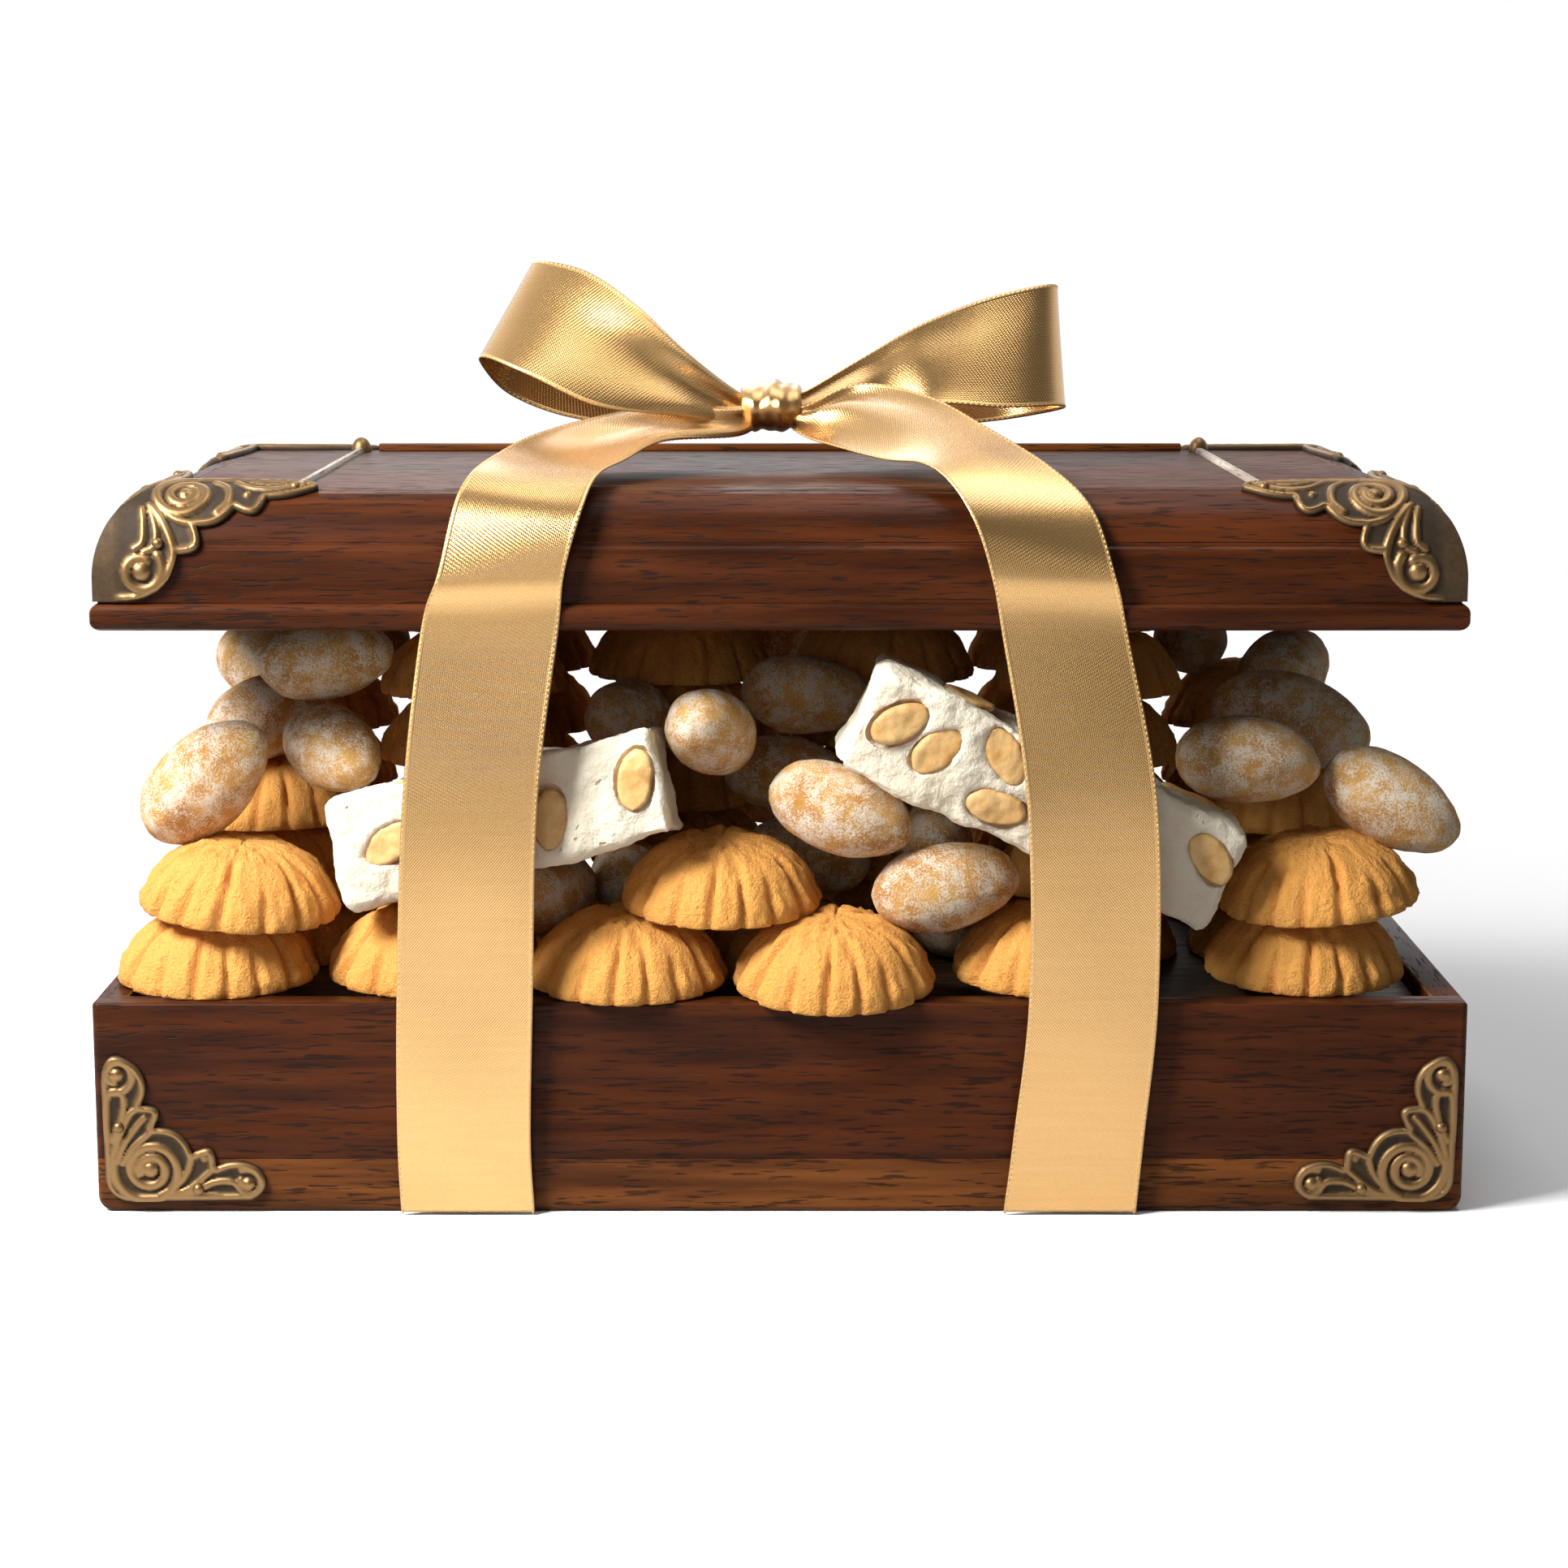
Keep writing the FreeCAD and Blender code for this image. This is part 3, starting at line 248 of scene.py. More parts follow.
def smooth_line(points, steps=10):
    """A smooth line through points, as an array."""
    points = [Vector(p) for p in points]
    ends = [points[0] * 2 - points[1]] + points + [points[-1] * 2 - points[-2]]
    line = []
    for a, b, c, d in zip(ends, ends[1:], ends[2:], ends[3:]):
        for k in range(steps):
            t = k / steps
            line.append(0.5 * (2 * b + (c - a) * t + (2 * a - 5 * b + 4 * c - d) * t * t
                               + (3 * b - a - 3 * c + d) * t ** 3))
    line.append(points[-1])
    return np.array([tuple(p) for p in line])


def scroll(x, y, inner, outer, start, turns):
    """A spiral from its inner to its outer radius, from a start angle in degrees, over some turns."""
    steps = int(abs(turns) * 40)
    angle = math.radians(start) + 2 * math.pi * turns * np.linspace(0, 1, steps)
    radius = inner * (outer / inner) ** np.linspace(0, 1, steps)
    return np.column_stack([x + radius * np.cos(angle), y + radius * np.sin(angle)])


def distance_to(places, line):
    """The least distance from each place to a line of points."""
    best = np.full(len(places), 1e9)
    for a, b in zip(line[:-1], line[1:]):
        along = b - a
        share = np.clip(((places - a) @ along) / max(along @ along, 1e-12), 0, 1)
        best = np.minimum(best, np.linalg.norm(places - a - share[:, None] * along, axis=1))
    return best


def scalloped(outline):
    """The edge of a stamping, from (x, y, bulge) corners with each arc's rise over its chord to the next."""
    edge = []
    for (x, y, bulge), (nx, ny, _) in zip(outline, outline[1:] + outline[:1]):
        chord = Vector((nx - x, ny - y))
        count = max(2, int(chord.length / 0.6))
        for k in range(count):
            t = k / count
            rise = 4 * bulge * t * (1 - t)
            edge.append((x + chord.x * t + chord.y * rise, y + chord.y * t - chord.x * rise))
    return np.array(edge)


def stamped(edge, ridges, beads, pitch, plain):
    """A stamping's flat net: places, heights and faces, smooth where x is less than plain."""
    low, high = edge.min(axis=0), edge.max(axis=0)
    across = np.arange(low[0] + pitch / 2, high[0], pitch)
    up = np.arange(low[1] + pitch / 2, high[1], pitch)
    grid = np.array([(x, y) for x in across for y in up])
    ahead = np.roll(edge, -1, axis=0)
    inside = np.zeros(len(grid), dtype=bool)
    for (x0, y0), (x1, y1) in zip(edge, ahead):
        crosses = (y0 > grid[:, 1]) != (y1 > grid[:, 1])
        at = x0 + (grid[:, 1] - y0) * (x1 - x0) / ((y1 - y0) or 1e-9)
        inside ^= crosses & (grid[:, 0] < at)
    closed = np.vstack([edge, edge[:1]])
    grid = grid[inside]
    grid = grid[distance_to(grid, closed) > 0.6 * pitch]
    places = np.vstack([edge, grid])
    rim = [(k, (k + 1) % len(edge)) for k in range(len(edge))]
    made = delaunay_2d_cdt([Vector(p) for p in places], rim, [], 1, 1e-5)
    places = np.array([tuple(p) for p in made[0]])
    off = distance_to(places, closed)
    bare = np.clip((plain - places[:, 0]) / 2.5, 0, 1)
    rolled = np.exp(-((off - 0.85) / 0.7) ** 2)
    height = edge_high * rolled * (1 - bare) + ground_high + 0.12 * bare
    for line, wide, high in ridges:
        near = distance_to(places, line) / wide
        height = np.maximum(height, ground_high + high * np.sqrt(np.clip(1 - near ** 2, 0, 1)))
    for x, y, radius, high in beads:
        near = np.hypot(places[:, 0] - x, places[:, 1] - y) / radius
        height = np.maximum(height, ground_high + high * np.sqrt(np.clip(1 - near ** 2, 0, 1)))
    return places, height, made[2]


def stamping(name, net, lay):
    """A closed thin stamping: lay puts a place at a height above the wood."""
    places, height, faces = net
    top = [lay(x, y, max(h, 0.0) + brass_thick) for (x, y), h in zip(places, height)]
    back = [lay(x, y, brass_seat) for x, y in places]
    count = len(top)
    solid = [tuple(face) for face in faces] + [tuple(count + k for k in reversed(face)) for face in faces]
    sides = [(a, b) for face in faces for a, b in zip(face, list(face[1:]) + [face[0]])]
    shared = set(sides)
    solid += [(b, a, count + a, count + b) for a, b in sides if (b, a) not in shared]
    mesh = bpy.data.meshes.new(name)
    mesh.from_pydata(top + back, [], solid)
    relief = np.clip(height / 1.1, 0, 1)
    mark(mesh, "relief", np.concatenate([relief, relief * 0.2]))
    form = bmesh.new()
    form.from_mesh(mesh)
    bmesh.ops.recalc_face_normals(form, faces=form.faces)
    form.to_mesh(mesh)
    form.free()
    return mesh


def brass_piece(name, mesh):
    """A stamping's mesh with its finish, as an object."""
    mesh.materials.append(antique_brass)
    mesh.shade_smooth()
    mesh.set_sharp_from_angle(angle=math.radians(60))
    return laid_out(name, mesh)


base_edge = scalloped([
    (2.2, 8, 0.2), (7, 2.7, 0), (34, 3, 0.33), (35.6, 10.4, 0.14), (26.4, 10.5, 0.49), (21.3, 13.5, 0.2),
    (12.9, 19.3, 0.5), (10.3, 24.3, 0.17), (9.7, 33, 0.5), (1.8, 29.6, 0),
])
base_ridges = [
    (scroll(12, 9.9, 2.3, 8.3, 200, -2.1), 1.15, 0.8),
    (scroll(5.2, 31.2, 1.9, 4.2, 250, -1.0), 1.0, 0.75),
    (scroll(33.4, 6.6, 1.8, 3.4, 150, 0.9), 0.9, 0.7),
    (smooth_line([(2.9, 16.5), (2.7, 21), (3.0, 26), (4.8, 27.6), (6.6, 26), (6.0, 21.5), (4.0, 16.5)]),
     0.90, 0.75),
    (smooth_line([(3.8, 12.5), (5.2, 17), (7.6, 22), (10, 24)]), 0.90, 0.75),
    (smooth_line([(4.7, 11.6), (6.6, 15.8), (9.6, 20), (11, 21.6)]), 0.83, 0.7),
    (smooth_line([(5.9, 11.2), (8.5, 15), (11.5, 17.6), (12.9, 19.2)]), 0.83, 0.7),
    (smooth_line([(14, 4.0), (17.5, 6.2), (20, 9.2), (21.2, 13.3)]), 0.90, 0.75),
    (smooth_line([(16, 3.9), (20.5, 5.6), (24.2, 8.6), (26.2, 10.4)]), 0.83, 0.75),
    (smooth_line([(17, 3.7), (21.7, 5.0), (26.1, 7.0), (30, 7.0), (31.9, 5.0)]), 0.90, 0.75),
    (smooth_line([(20.5, 3.6), (24.6, 4.6), (29, 3.8)]), 0.45, 0.6),
]
base_beads = [(12, 9.9, 1.9, 1.3), (5.2, 31.2, 1.6, 1.25), (33.4, 6.6, 1.5, 1.2), (23.9, 12.4, 1.0, 0.6)]
base_net = stamped(base_edge, base_ridges, base_beads, 0.36, 0)
for side, node in ((-1, "base_corner_left"), (1, "base_corner_right")):
    def on_tray(x, y, proud):
        return (side * (tray_half_wide - x) * mm, (-tray_half_deep - proud) * mm, y * mm)

    plate = stamping(node + "_scroll", base_net, on_tray)
    seat(brass_piece(node + "_scroll", plate), "tray", "brass", node)
seat(rubbed_brass("tray_corner_pins", "base_corner_pins"), "tray", "brass", "base_corner_pins")

# Raised floor
# A thin unfinished board laid loose in the tray on two glued cleats, so that the sweets stand up to the rim.
# The plain wood is paler and duller than the waxed tray.

raw_board = walnut("raw_board", (0.05, 0.026, 0.012), (0.13, 0.075, 0.038), "x", 0.35)
for node in ("raised_floor", "floor_cleat_front", "floor_cleat_back"):
    seat(dressed(node, raw_board), "tray", "board", node)

# Cookies
# Short butter cookies pressed in a fluted mould: sandy crumb with a pinched crown where the flutes meet,
# browned at the foot and painted darker as shade in the flutes and creases. They stand loose in stacks.

cookie_radius = 22.75 * mm
cookie_high = 15.5 * mm
cookie_flutes = 16
cookie_bulge = 1.5 * mm
groove_deep = 1.7 * mm
crease_deep = 1.4 * mm
crumb_high = 0.45 * mm
lump_high = 0.7 * mm
foot_tuck = 0.6 * mm


def crumb(name, crust, shade, dust):
    """Sandy crumb, darker where its mark is high (painted shade in the grooves and creases, browning at the
    foot), with pale and dark grains.
    """
    def paint(root, place):
        grit = place.grain(1900, 3.0, 0.75)
        patch = place.grain(110, 3.0).step(0.35, 0.68)
        # Painted shade in the grooves and creases, and browning at the foot, darken the crumb.
        shade_and_browning = root.marked("shade_and_browning")
        shaded_and_browned = (shade_and_browning * 0.75 + patch * 0.35 - 0.1).step(0.05, 0.95)
        sandy = (grit.step(0.46, 0.3) * 0.5).between(shaded_and_browned.between(crust, shade), shade)
        colour = (grit.step(0.54, 0.72) * 0.55).between(sandy, dust)
        lumps = grit * 0.9 + place.grain(850, 2.0) * 0.7 + place.grain(420, 2.0) * 0.4
        return {"Base Color": colour, "Roughness": 0.8 + grit * 0.2,
                "Normal": lumps.bump(1.1 * mm, 0.85)}
    return finish_of(name, paint, Specular_IOR_Level=0.25, Subsurface_Weight=0.06)


def dimple(angle, share, fine, seed):
    """Noise over the dome, fine across its foot."""
    return noise.noise(Vector((math.cos(angle) * share * fine, math.sin(angle) * share * fine, seed)))


def cookie_form(seed):
    """A fluted dome on its flat base; its mark is high in the grooves and pinched creases as painted shade,
    and at the foot as browning.
    """
    around = 192
    base_rings = (0.9, 0.45)
    shares = [0.06 * k for k in range(1, 15)] + [0.89, 0.93, 0.965, 0.985, 1.0]
    ball = (cookie_radius ** 2 + cookie_high ** 2) / (2 * cookie_high)
    widest = math.acos((ball - cookie_high) / ball)
    points = [(0, 0, cookie_high * 0.985)]
    shade_and_browning = [0.3]
    for share in shares:
        tilt = widest * share
        for k in range(around):
            angle = 2 * math.pi * k / around
            swing = angle + 0.06 * math.sin(3 * angle + seed) + 0.1 * (share - 0.8)
            groove = max(0, 1 - 1.6 * abs(math.sin(cookie_flutes * swing / 2)))
            flute = round(cookie_flutes * swing / (2 * math.pi)) % cookie_flutes
            start = 0.46 + 0.14 * math.sin(2.4 * flute + 1.7 * seed)
            deep = min(1, max(0, (share - start) / 0.22)) * min(1, (1.08 - share) / 0.1)
            pinch = max(0, 1 - abs(dimple(angle, share, 6, seed)) * 6) * min(1, max(0, 1.6 - share / 0.36))
            sink = groove_deep * groove * deep + crease_deep * pinch
            swell = crumb_high * dimple(angle, share, 24, seed + 5)
            swell += lump_high * dimple(angle, share, 9, seed + 9)
            reach = ball + cookie_bulge * math.sin(math.pi * share) + swell - sink
            flat = min(reach * math.sin(tilt), cookie_radius)
            level = min(reach * math.cos(tilt) - (ball - cookie_high), cookie_high)
            foot = max(0, (share - 0.93) / 0.07)
            flat -= foot ** 2 * foot_tuck
            points.append((flat * math.cos(angle), flat * math.sin(angle), max(level, 0.0)))
            # Painted shade in the grooves and pinched creases; browning at the foot.
            shade_and_browning.append(min(1, 0.6 * groove * deep + 0.55 * pinch + 0.35 * foot))
    for ring in base_rings:
        for k in range(around):
            angle = 2 * math.pi * k / around
            points.append((ring * cookie_radius * math.cos(angle), ring * cookie_radius * math.sin(angle), 0))
            shade_and_browning.append(0.4)
    points.append((0, 0, 0))
    shade_and_browning.append(0.4)
    rings = len(shares) + len(base_rings)
    faces = [(0, 1 + k, 1 + (k + 1) % around) for k in range(around)]
    for ring in range(rings - 1):
        low = 1 + ring * around
        for k in range(around):
            after = (k + 1) % around
            faces.append((low + k, low + around + k, low + around + after, low + after))
    last = len(points) - 1
    faces += [(last, last - around + (k + 1) % around, last - around + k) for k in range(around)]
    mesh = bpy.data.meshes.new(f"cookie_form_{seed}")
    mesh.from_pydata(points, [], faces)
    mark(mesh, "shade_and_browning", shade_and_browning)
    mesh.shade_smooth()
    return mesh


def loose_triangles(node):
    """A CAD node's triangles as an array, three corners each."""
    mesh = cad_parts[node].data
    points = np.empty(len(mesh.vertices) * 3)
    mesh.vertices.foreach_get("co", points)
    mesh.calc_loop_triangles()
    corners = np.empty(len(mesh.loop_triangles) * 3, dtype=np.int64)
    mesh.loop_triangles.foreach_get("vertices", corners)
    return points.reshape(-1, 3)[corners].reshape(-1, 3, 3)


def flat_bases(node):
    """Middle and upward axis of each large flat base in a CAD node."""
    triangles = loose_triangles(node)
    across = np.cross(triangles[:, 1] - triangles[:, 0], triangles[:, 2] - triangles[:, 0])
    double = np.linalg.norm(across, axis=1)
    sound = double > 1e-13
    triangles, across, double = triangles[sound], across[sound], double[sound]
    normal = across / double[:, None]
    middle = triangles.mean(axis=1)
    turn_fine, level_fine = 400, 2000
    level = (normal * middle).sum(axis=1)
    plane = np.round(np.column_stack([normal * turn_fine, level * level_fine])).astype(np.int64)
    _, group = np.unique(plane, axis=0, return_inverse=True)
    group = group.ravel()
    area = np.bincount(group, double / 2)
    found = []
    for index in np.nonzero(area > 0.5 * math.pi * cookie_radius ** 2)[0]:
        part = group == index
        weight = double[part][:, None]
        centre = (middle[part] * weight).sum(axis=0) / weight.sum()
        axis = -(normal[part] * weight).sum(axis=0)
        found.append((Vector(centre), Vector(axis).normalized()))
    return found


def node_tree(name, **inputs):
    """An empty Geometry Nodes tree with named inputs, and its input node."""
    tree = bpy.data.node_groups.new(name, "GeometryNodeTree")
    for label, kind in inputs.items():
        tree.interface.new_socket(label, in_out="INPUT", socket_type="NodeSocket" + kind)
    tree.interface.new_socket("Made", in_out="OUTPUT", socket_type="NodeSocketGeometry")
    return tree, tree.nodes.new("NodeGroupInput")


def close_tree(tree, source, place):
    """Ends a tree: the instances that place makes become real and get the Finish."""
    realize = tree.nodes.new("GeometryNodeRealizeInstances")
    paint = tree.nodes.new("GeometryNodeSetMaterial")
    result = tree.nodes.new("NodeGroupOutput")
    tree.links.new(place.outputs["Instances"], realize.inputs["Geometry"])
    tree.links.new(realize.outputs["Geometry"], paint.inputs["Geometry"])
    tree.links.new(source.outputs["Finish"], paint.inputs["Material"])
    tree.links.new(paint.outputs["Geometry"], result.inputs["Made"])


def grown(made, tree, **inputs):
    """Runs a tree on an object with these inputs and makes the result a plain smooth mesh."""
    growth = made.modifiers.new("Growth", "NODES")
    growth.node_group = tree
    sockets = {item.name: item.identifier for item in tree.interface.items_tree if item.in_out == "INPUT"}
    for label, value in inputs.items():
        growth[sockets[label]] = value
    plain_from(made)
    made.data.shade_smooth()
    return made


def scatter_tree():
    """Geometry Nodes: the forms of a collection stand on points, picked, turned and sized by attributes."""
    tree, source = node_tree("stand_on_points", Points="Geometry", Forms="Collection", Finish="Material")
    forms = tree.nodes.new("GeometryNodeCollectionInfo")
    forms.inputs["Separate Children"].default_value = True
    forms.inputs["Reset Children"].default_value = True
    place = tree.nodes.new("GeometryNodeInstanceOnPoints")
    place.inputs["Pick Instance"].default_value = True
    tree.links.new(source.outputs["Points"], place.inputs["Points"])
    tree.links.new(source.outputs["Forms"], forms.inputs["Collection"])
    tree.links.new(forms.outputs[0], place.inputs["Instance"])
    for attribute, kind, socket in (("form", "INT", "Instance Index"), ("turn", "FLOAT_VECTOR", "Rotation"),
                                    ("size", "FLOAT_VECTOR", "Scale")):
        read = tree.nodes.new("GeometryNodeInputNamedAttribute")
        read.data_type = kind
        read.inputs["Name"].default_value = attribute
        tree.links.new(read.outputs["Attribute"], place.inputs[socket])
    close_tree(tree, source, place)
    return tree


scatter = scatter_tree()


def forms_of(name, meshes):
    """A hidden collection of the forms that a scatter picks from, in order."""
    group = bpy.data.collections.new(name)
    for number, mesh in enumerate(meshes):
        group.objects.link(bpy.data.objects.new(f"{name}_{number}", mesh))
    return group


def scattered(name, group, finish, spots):
    """Stands forms at spots of (place, turn matrix, size, form) and makes the result a plain mesh."""
    mesh = bpy.data.meshes.new(name)
    mesh.from_pydata([spot[0] for spot in spots], [], [])
    turns = [angle for spot in spots for angle in spot[1].to_euler("XYZ")]
    sizes = [part for spot in spots for part in spot[2]]
    mesh.attributes.new("turn", "FLOAT_VECTOR", "POINT").data.foreach_set("vector", turns)
    mesh.attributes.new("size", "FLOAT_VECTOR", "POINT").data.foreach_set("vector", sizes)
    mesh.attributes.new("form", "INT", "POINT").data.foreach_set("value", [spot[3] for spot in spots])
    return grown(laid_out(name, mesh), scatter, Forms=group, Finish=finish)


cookie_crumb = crumb("cookie_crumb", (0.81, 0.365, 0.082), (0.56, 0.2, 0.036), (0.9, 0.54, 0.2))
cookie_kinds = 4
cookie_fit = (0.995, 0.995, 0.99)
cookie_forms = forms_of("cookie_forms", [cookie_form(seed) for seed in range(cookie_kinds)])
for node in sorted(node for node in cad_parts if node.startswith("cookie")):
    spots = []
    for number, (centre, axis) in enumerate(flat_bases(node)):
        turn = axis.to_track_quat("Z", "Y").to_matrix() @ Matrix.Rotation(2.1 * number + len(node), 3, "Z")
        spots.append((centre, turn, cookie_fit, (number + len(node)) % cookie_kinds))
    seat(scattered(node + "_baked", cookie_forms, cookie_crumb, spots), "tray", "cookie", node)

# Dates
# Soft brown dates rolled in fine sugar, which lies in thick and thin patches.
# They lie loose on the cookies and on each other.

date_kinds = 5


def date_form(seed):
    """A lumpy egg, a little blunter at one end, one unit to each half size."""
    form = bmesh.new()
    bmesh.ops.create_icosphere(form, subdivisions=5, radius=1)
    drift = Vector((seed * 5.7, seed * 2.3, -seed))
    for vert in form.verts:
        way = vert.co.normalized()
        lump = noise.noise(way * 1.5 + drift) * 0.09 + noise.noise(way * 4 + drift) * 0.03
        lump += noise.noise(way * 11 + drift) * 0.012
        blunt = 1 + 0.06 * way.x
        vert.co = Vector((way.x, way.y * blunt, way.z * blunt)) * (0.955 + lump * 0.5)
    mesh = bpy.data.meshes.new(f"date_form_{seed}")
    form.to_mesh(mesh)
    form.free()
    mesh.shade_smooth()
    return mesh


def loose_eggs(node):
    """Middle, turn and half sizes of each separate egg in a CAD node, from the spread of its surface."""
    triangles = loose_triangles(node)
    corners = np.round(triangles.reshape(-1, 3) / weld).astype(np.int64)
    _, shared = np.unique(corners, axis=0, return_inverse=True)
    shared = shared.reshape(-1, 3)
    label = np.arange(shared.max() + 1)
    while True:
        lowest = label[shared].min(axis=1)
        before = label.copy()
        for corner in range(3):
            np.minimum.at(label, shared[:, corner], lowest)
        label = label[label]
        if (label == before).all():
            break
    owner = label[shared[:, 0]]
    found = []
    for egg in np.unique(owner):
        part = triangles[owner == egg]
        weight = np.linalg.norm(np.cross(part[:, 1] - part[:, 0], part[:, 2] - part[:, 0]), axis=1)
        middle = part.mean(axis=1)
        centre = (middle * weight[:, None]).sum(axis=0) / weight.sum()
        away = middle - centre
        _, axes = np.linalg.eigh((away * weight[:, None]).T @ away)
        axes = axes[:, ::-1]
        axes[:, 2] = np.cross(axes[:, 0], axes[:, 1])
        half = np.abs((part.reshape(-1, 3) - centre) @ axes).max(axis=0)
        found.append((Vector(centre), Matrix(axes.tolist()), half))
    return found


def sugared(root, place):
    """Amber flesh under patches of fine powder."""
    powder = place.grain(2300, 3.0, 0.75)
    cover = place.grain(230, 4.0, 0.65)
    thick = (powder * 0.9 + cover * 0.8).step(0.75, 0.99)
    flesh = place.grain(90, 3.0).step(0.3, 0.7).between((0.46, 0.2, 0.04), (0.72, 0.39, 0.105))
    return {"Base Color": (thick * 0.9).between(flesh, (0.84, 0.75, 0.62)),
            "Roughness": 0.7 + thick * 0.25,
            "Normal": (powder * 0.9 + cover * 0.7).bump(0.9 * mm, 0.85)}


date_sugar = finish_of("sugared_date", sugared, Specular_IOR_Level=0.25, Subsurface_Weight=0.05)
date_forms = forms_of("date_forms", [date_form(seed) for seed in range(date_kinds)])
for node in ("dates_left", "dates_right", "dates_middle", "dates_inside"):
    spots = []
    for number, (centre, turn, half) in enumerate(loose_eggs(node)):
        rolled = turn @ Matrix.Rotation(1.3 * number, 3, "X")
        spots.append((centre, rolled, tuple(half), (number + len(node)) % date_kinds))
    seat(scattered(node + "_sugared", date_forms, date_sugar, spots), "tray", "date", node)

# Nougat
# Two bars of white nougat broken by hand, chalky on the torn faces, with nuts stirred in while it was soft
# and cut through where the bar broke. They lie loose across the cookies.


def roughened(name, node, voxel, rounds, swells, sunk, material):
    """A CAD piece remeshed fine, worn round and roughened by (size, height) layers of noise."""
    made = dressed(node, material)
    made.name = name
    fine = made.modifiers.new("Fine", "REMESH")
    fine.mode = "VOXEL"
    fine.voxel_size = voxel
    plain_from(made)
    form = bmesh.new()
    form.from_mesh(made.data)
    for _ in range(rounds):
        bmesh.ops.smooth_vert(form, verts=form.verts, factor=0.5, use_axis_x=True, use_axis_y=True,
                              use_axis_z=True)
    form.normal_update()
    for vert in form.verts:
        rise = sum(high * noise.noise(vert.co / wide) for wide, high in swells)
        vert.co += vert.normal * (rise - sunk)
    form.to_mesh(made.data)
    form.free()
    made.data.materials.clear()
    made.data.materials.append(material)
    made.data.shade_smooth()
    return made


def chalky(root, place):
    """Chalky white with toasted patches and small holes, painted dark brown in the holes as shade."""
    pits = place.grain(700, 4.0, 0.7)
    toast = place.grain(60, 3.0).step(0.5, 0.8)
    shaded_hole = place.grain(260, 2.0).step(0.3, 0.24)
    colour = (toast * 0.5).between((0.82, 0.71, 0.55), (0.76, 0.6, 0.4))
    # The holes are painted dark brown as shade.
    return {"Base Color": (shaded_hole * 0.6).between(colour, (0.42, 0.27, 0.14)), "Roughness": 0.72 + pits * 0.2,
            "Normal": (pits * 0.8 - shaded_hole * 0.6).bump(0.9 * mm, 0.8)}


def nut_meat(root, place):
    """Amber nut meat, brown towards its skinned rim."""
    vein = place.grain(240, 4.0).step(0.35, 0.75)
    skin = (root.marked("skin") + place.grain(300, 3.0) - 0.5).step(0.15, 0.75)
    meat = vein.between((0.74, 0.47, 0.19), (0.6, 0.3, 0.08))
    return {"Base Color": (skin * 0.35).between(meat, (0.17, 0.07, 0.02)),
            "Roughness": 0.45 + vein * 0.2, "Normal": place.grain(900, 2.0).bump(0.3 * mm, 0.4)}


def skinned(mesh):
    """Marks the rim of each nut half, where its brown skin shows."""
    form = bmesh.new()
    form.from_mesh(mesh)
    form.normal_update()
    mark(mesh, "skin", [min(1, max(0, (vert.calc_shell_factor() - 1.004) * 40)) for vert in form.verts])
    form.free()


nougat_white = finish_of("nougat_white", chalky, Specular_IOR_Level=0.3, Subsurface_Weight=0.12)
nut_cut = finish_of("nut_cut", nut_meat, Specular_IOR_Level=0.4)
nougat_voxel = 0.6 * mm
nougat_sunk = 0.5 * mm
torn = ((20 * mm, 2.4 * mm), (7 * mm, 0.9 * mm), (2.4 * mm, 0.3 * mm), (1 * mm, 0.16 * mm))
for node in ("nougat_left", "nougat_right"):
    bar = roughened(node + "_torn", node, nougat_voxel, 2, torn, nougat_sunk, nougat_white)
    seat(bar, "tray", "nougat", node)
nut_voxel = 0.4 * mm
nut_sunk = -0.2 * mm
shrunk = ((6 * mm, 0.6 * mm), (2 * mm, 0.15 * mm))
nuts = roughened("nougat_nut_halves", "nougat_nuts", nut_voxel, 14, shrunk, nut_sunk, nut_cut)
skinned(nuts.data)
seat(nuts, "tray", "nut", "nougat_nuts")

# Lid
# A lift-off walnut lid: four mitred rim strips, four mitred round mouldings that make the dome, and a flat
# panel let in on top. Glued up, rubbed and waxed to a soft shine.

rim_arris = 0.25 * mm
lid_wood = {"front": walnut_long, "back": walnut_long, "left": walnut_across, "right": walnut_across}
for side, wood in lid_wood.items():
    seat(dressed("lid_rim_" + side, wood, worn_arris, rim_arris), "lid", "walnut", "lid_rim_" + side)
    seat(dressed("lid_moulding_" + side, wood), "lid", "walnut", "lid_moulding_" + side)
seat(dressed("lid_top_panel", walnut_long, worn_arris, rim_arris), "lid", "walnut", "lid_top_panel")

# Lid top trim
# Two thin pale beads let into the top from front to back, a brass ball stud driven in at the back end of
# each, and a walnut lip glued along the back edge, painted golden as the highlight along that edge.

lip_arris = 0.3 * mm
bead_wood = walnut("pale_bead", (0.2, 0.15, 0.11), (0.5, 0.43, 0.36), "y", 0.3)
for node in ("lid_bead_left", "lid_bead_right"):
    seat(dressed(node, bead_wood), "lid", "walnut", node)
# The lip is painted golden as the highlight along the lid's back edge.
seat(dressed("lid_back_lip", golden_walnut_and_edge_highlight, worn_arris, lip_arris), "lid", "walnut", "lid_back_lip")
seat(rubbed_brass("ball_studs", "lid_studs"), "lid", "brass", "lid_studs")

# Scroll corners of the lid
# The same brass stamped to wrap each corner of the dome, one leaf down each face, joined along the mitre
# and pinned through the mouldings.

dome_half_wide = 146.4
dome_half_deep = 71.4
dome_foot = 134.2
dome_deep = 16
dome_high = 24
flank = 24.0
shoulder = 15.1
plinth = 5.0
meet = math.atan2(3.9, 8.0)
flank_long = plinth + flank * meet


def up_the_dome(way):
    """Depth and height on the dome's face, and its outward slope, at a way up the face from its foot."""
    if way < plinth:
        return 0.0, way, 0.0
    if way < flank_long:
        angle = (way - plinth) / flank
        return flank - flank * math.cos(angle), plinth + flank * math.sin(angle), angle
    angle = min(meet + (way - flank_long) / shoulder, math.pi / 2)
    return dome_deep - shoulder * math.cos(angle), dome_high - shoulder + shoulder * math.sin(angle), angle


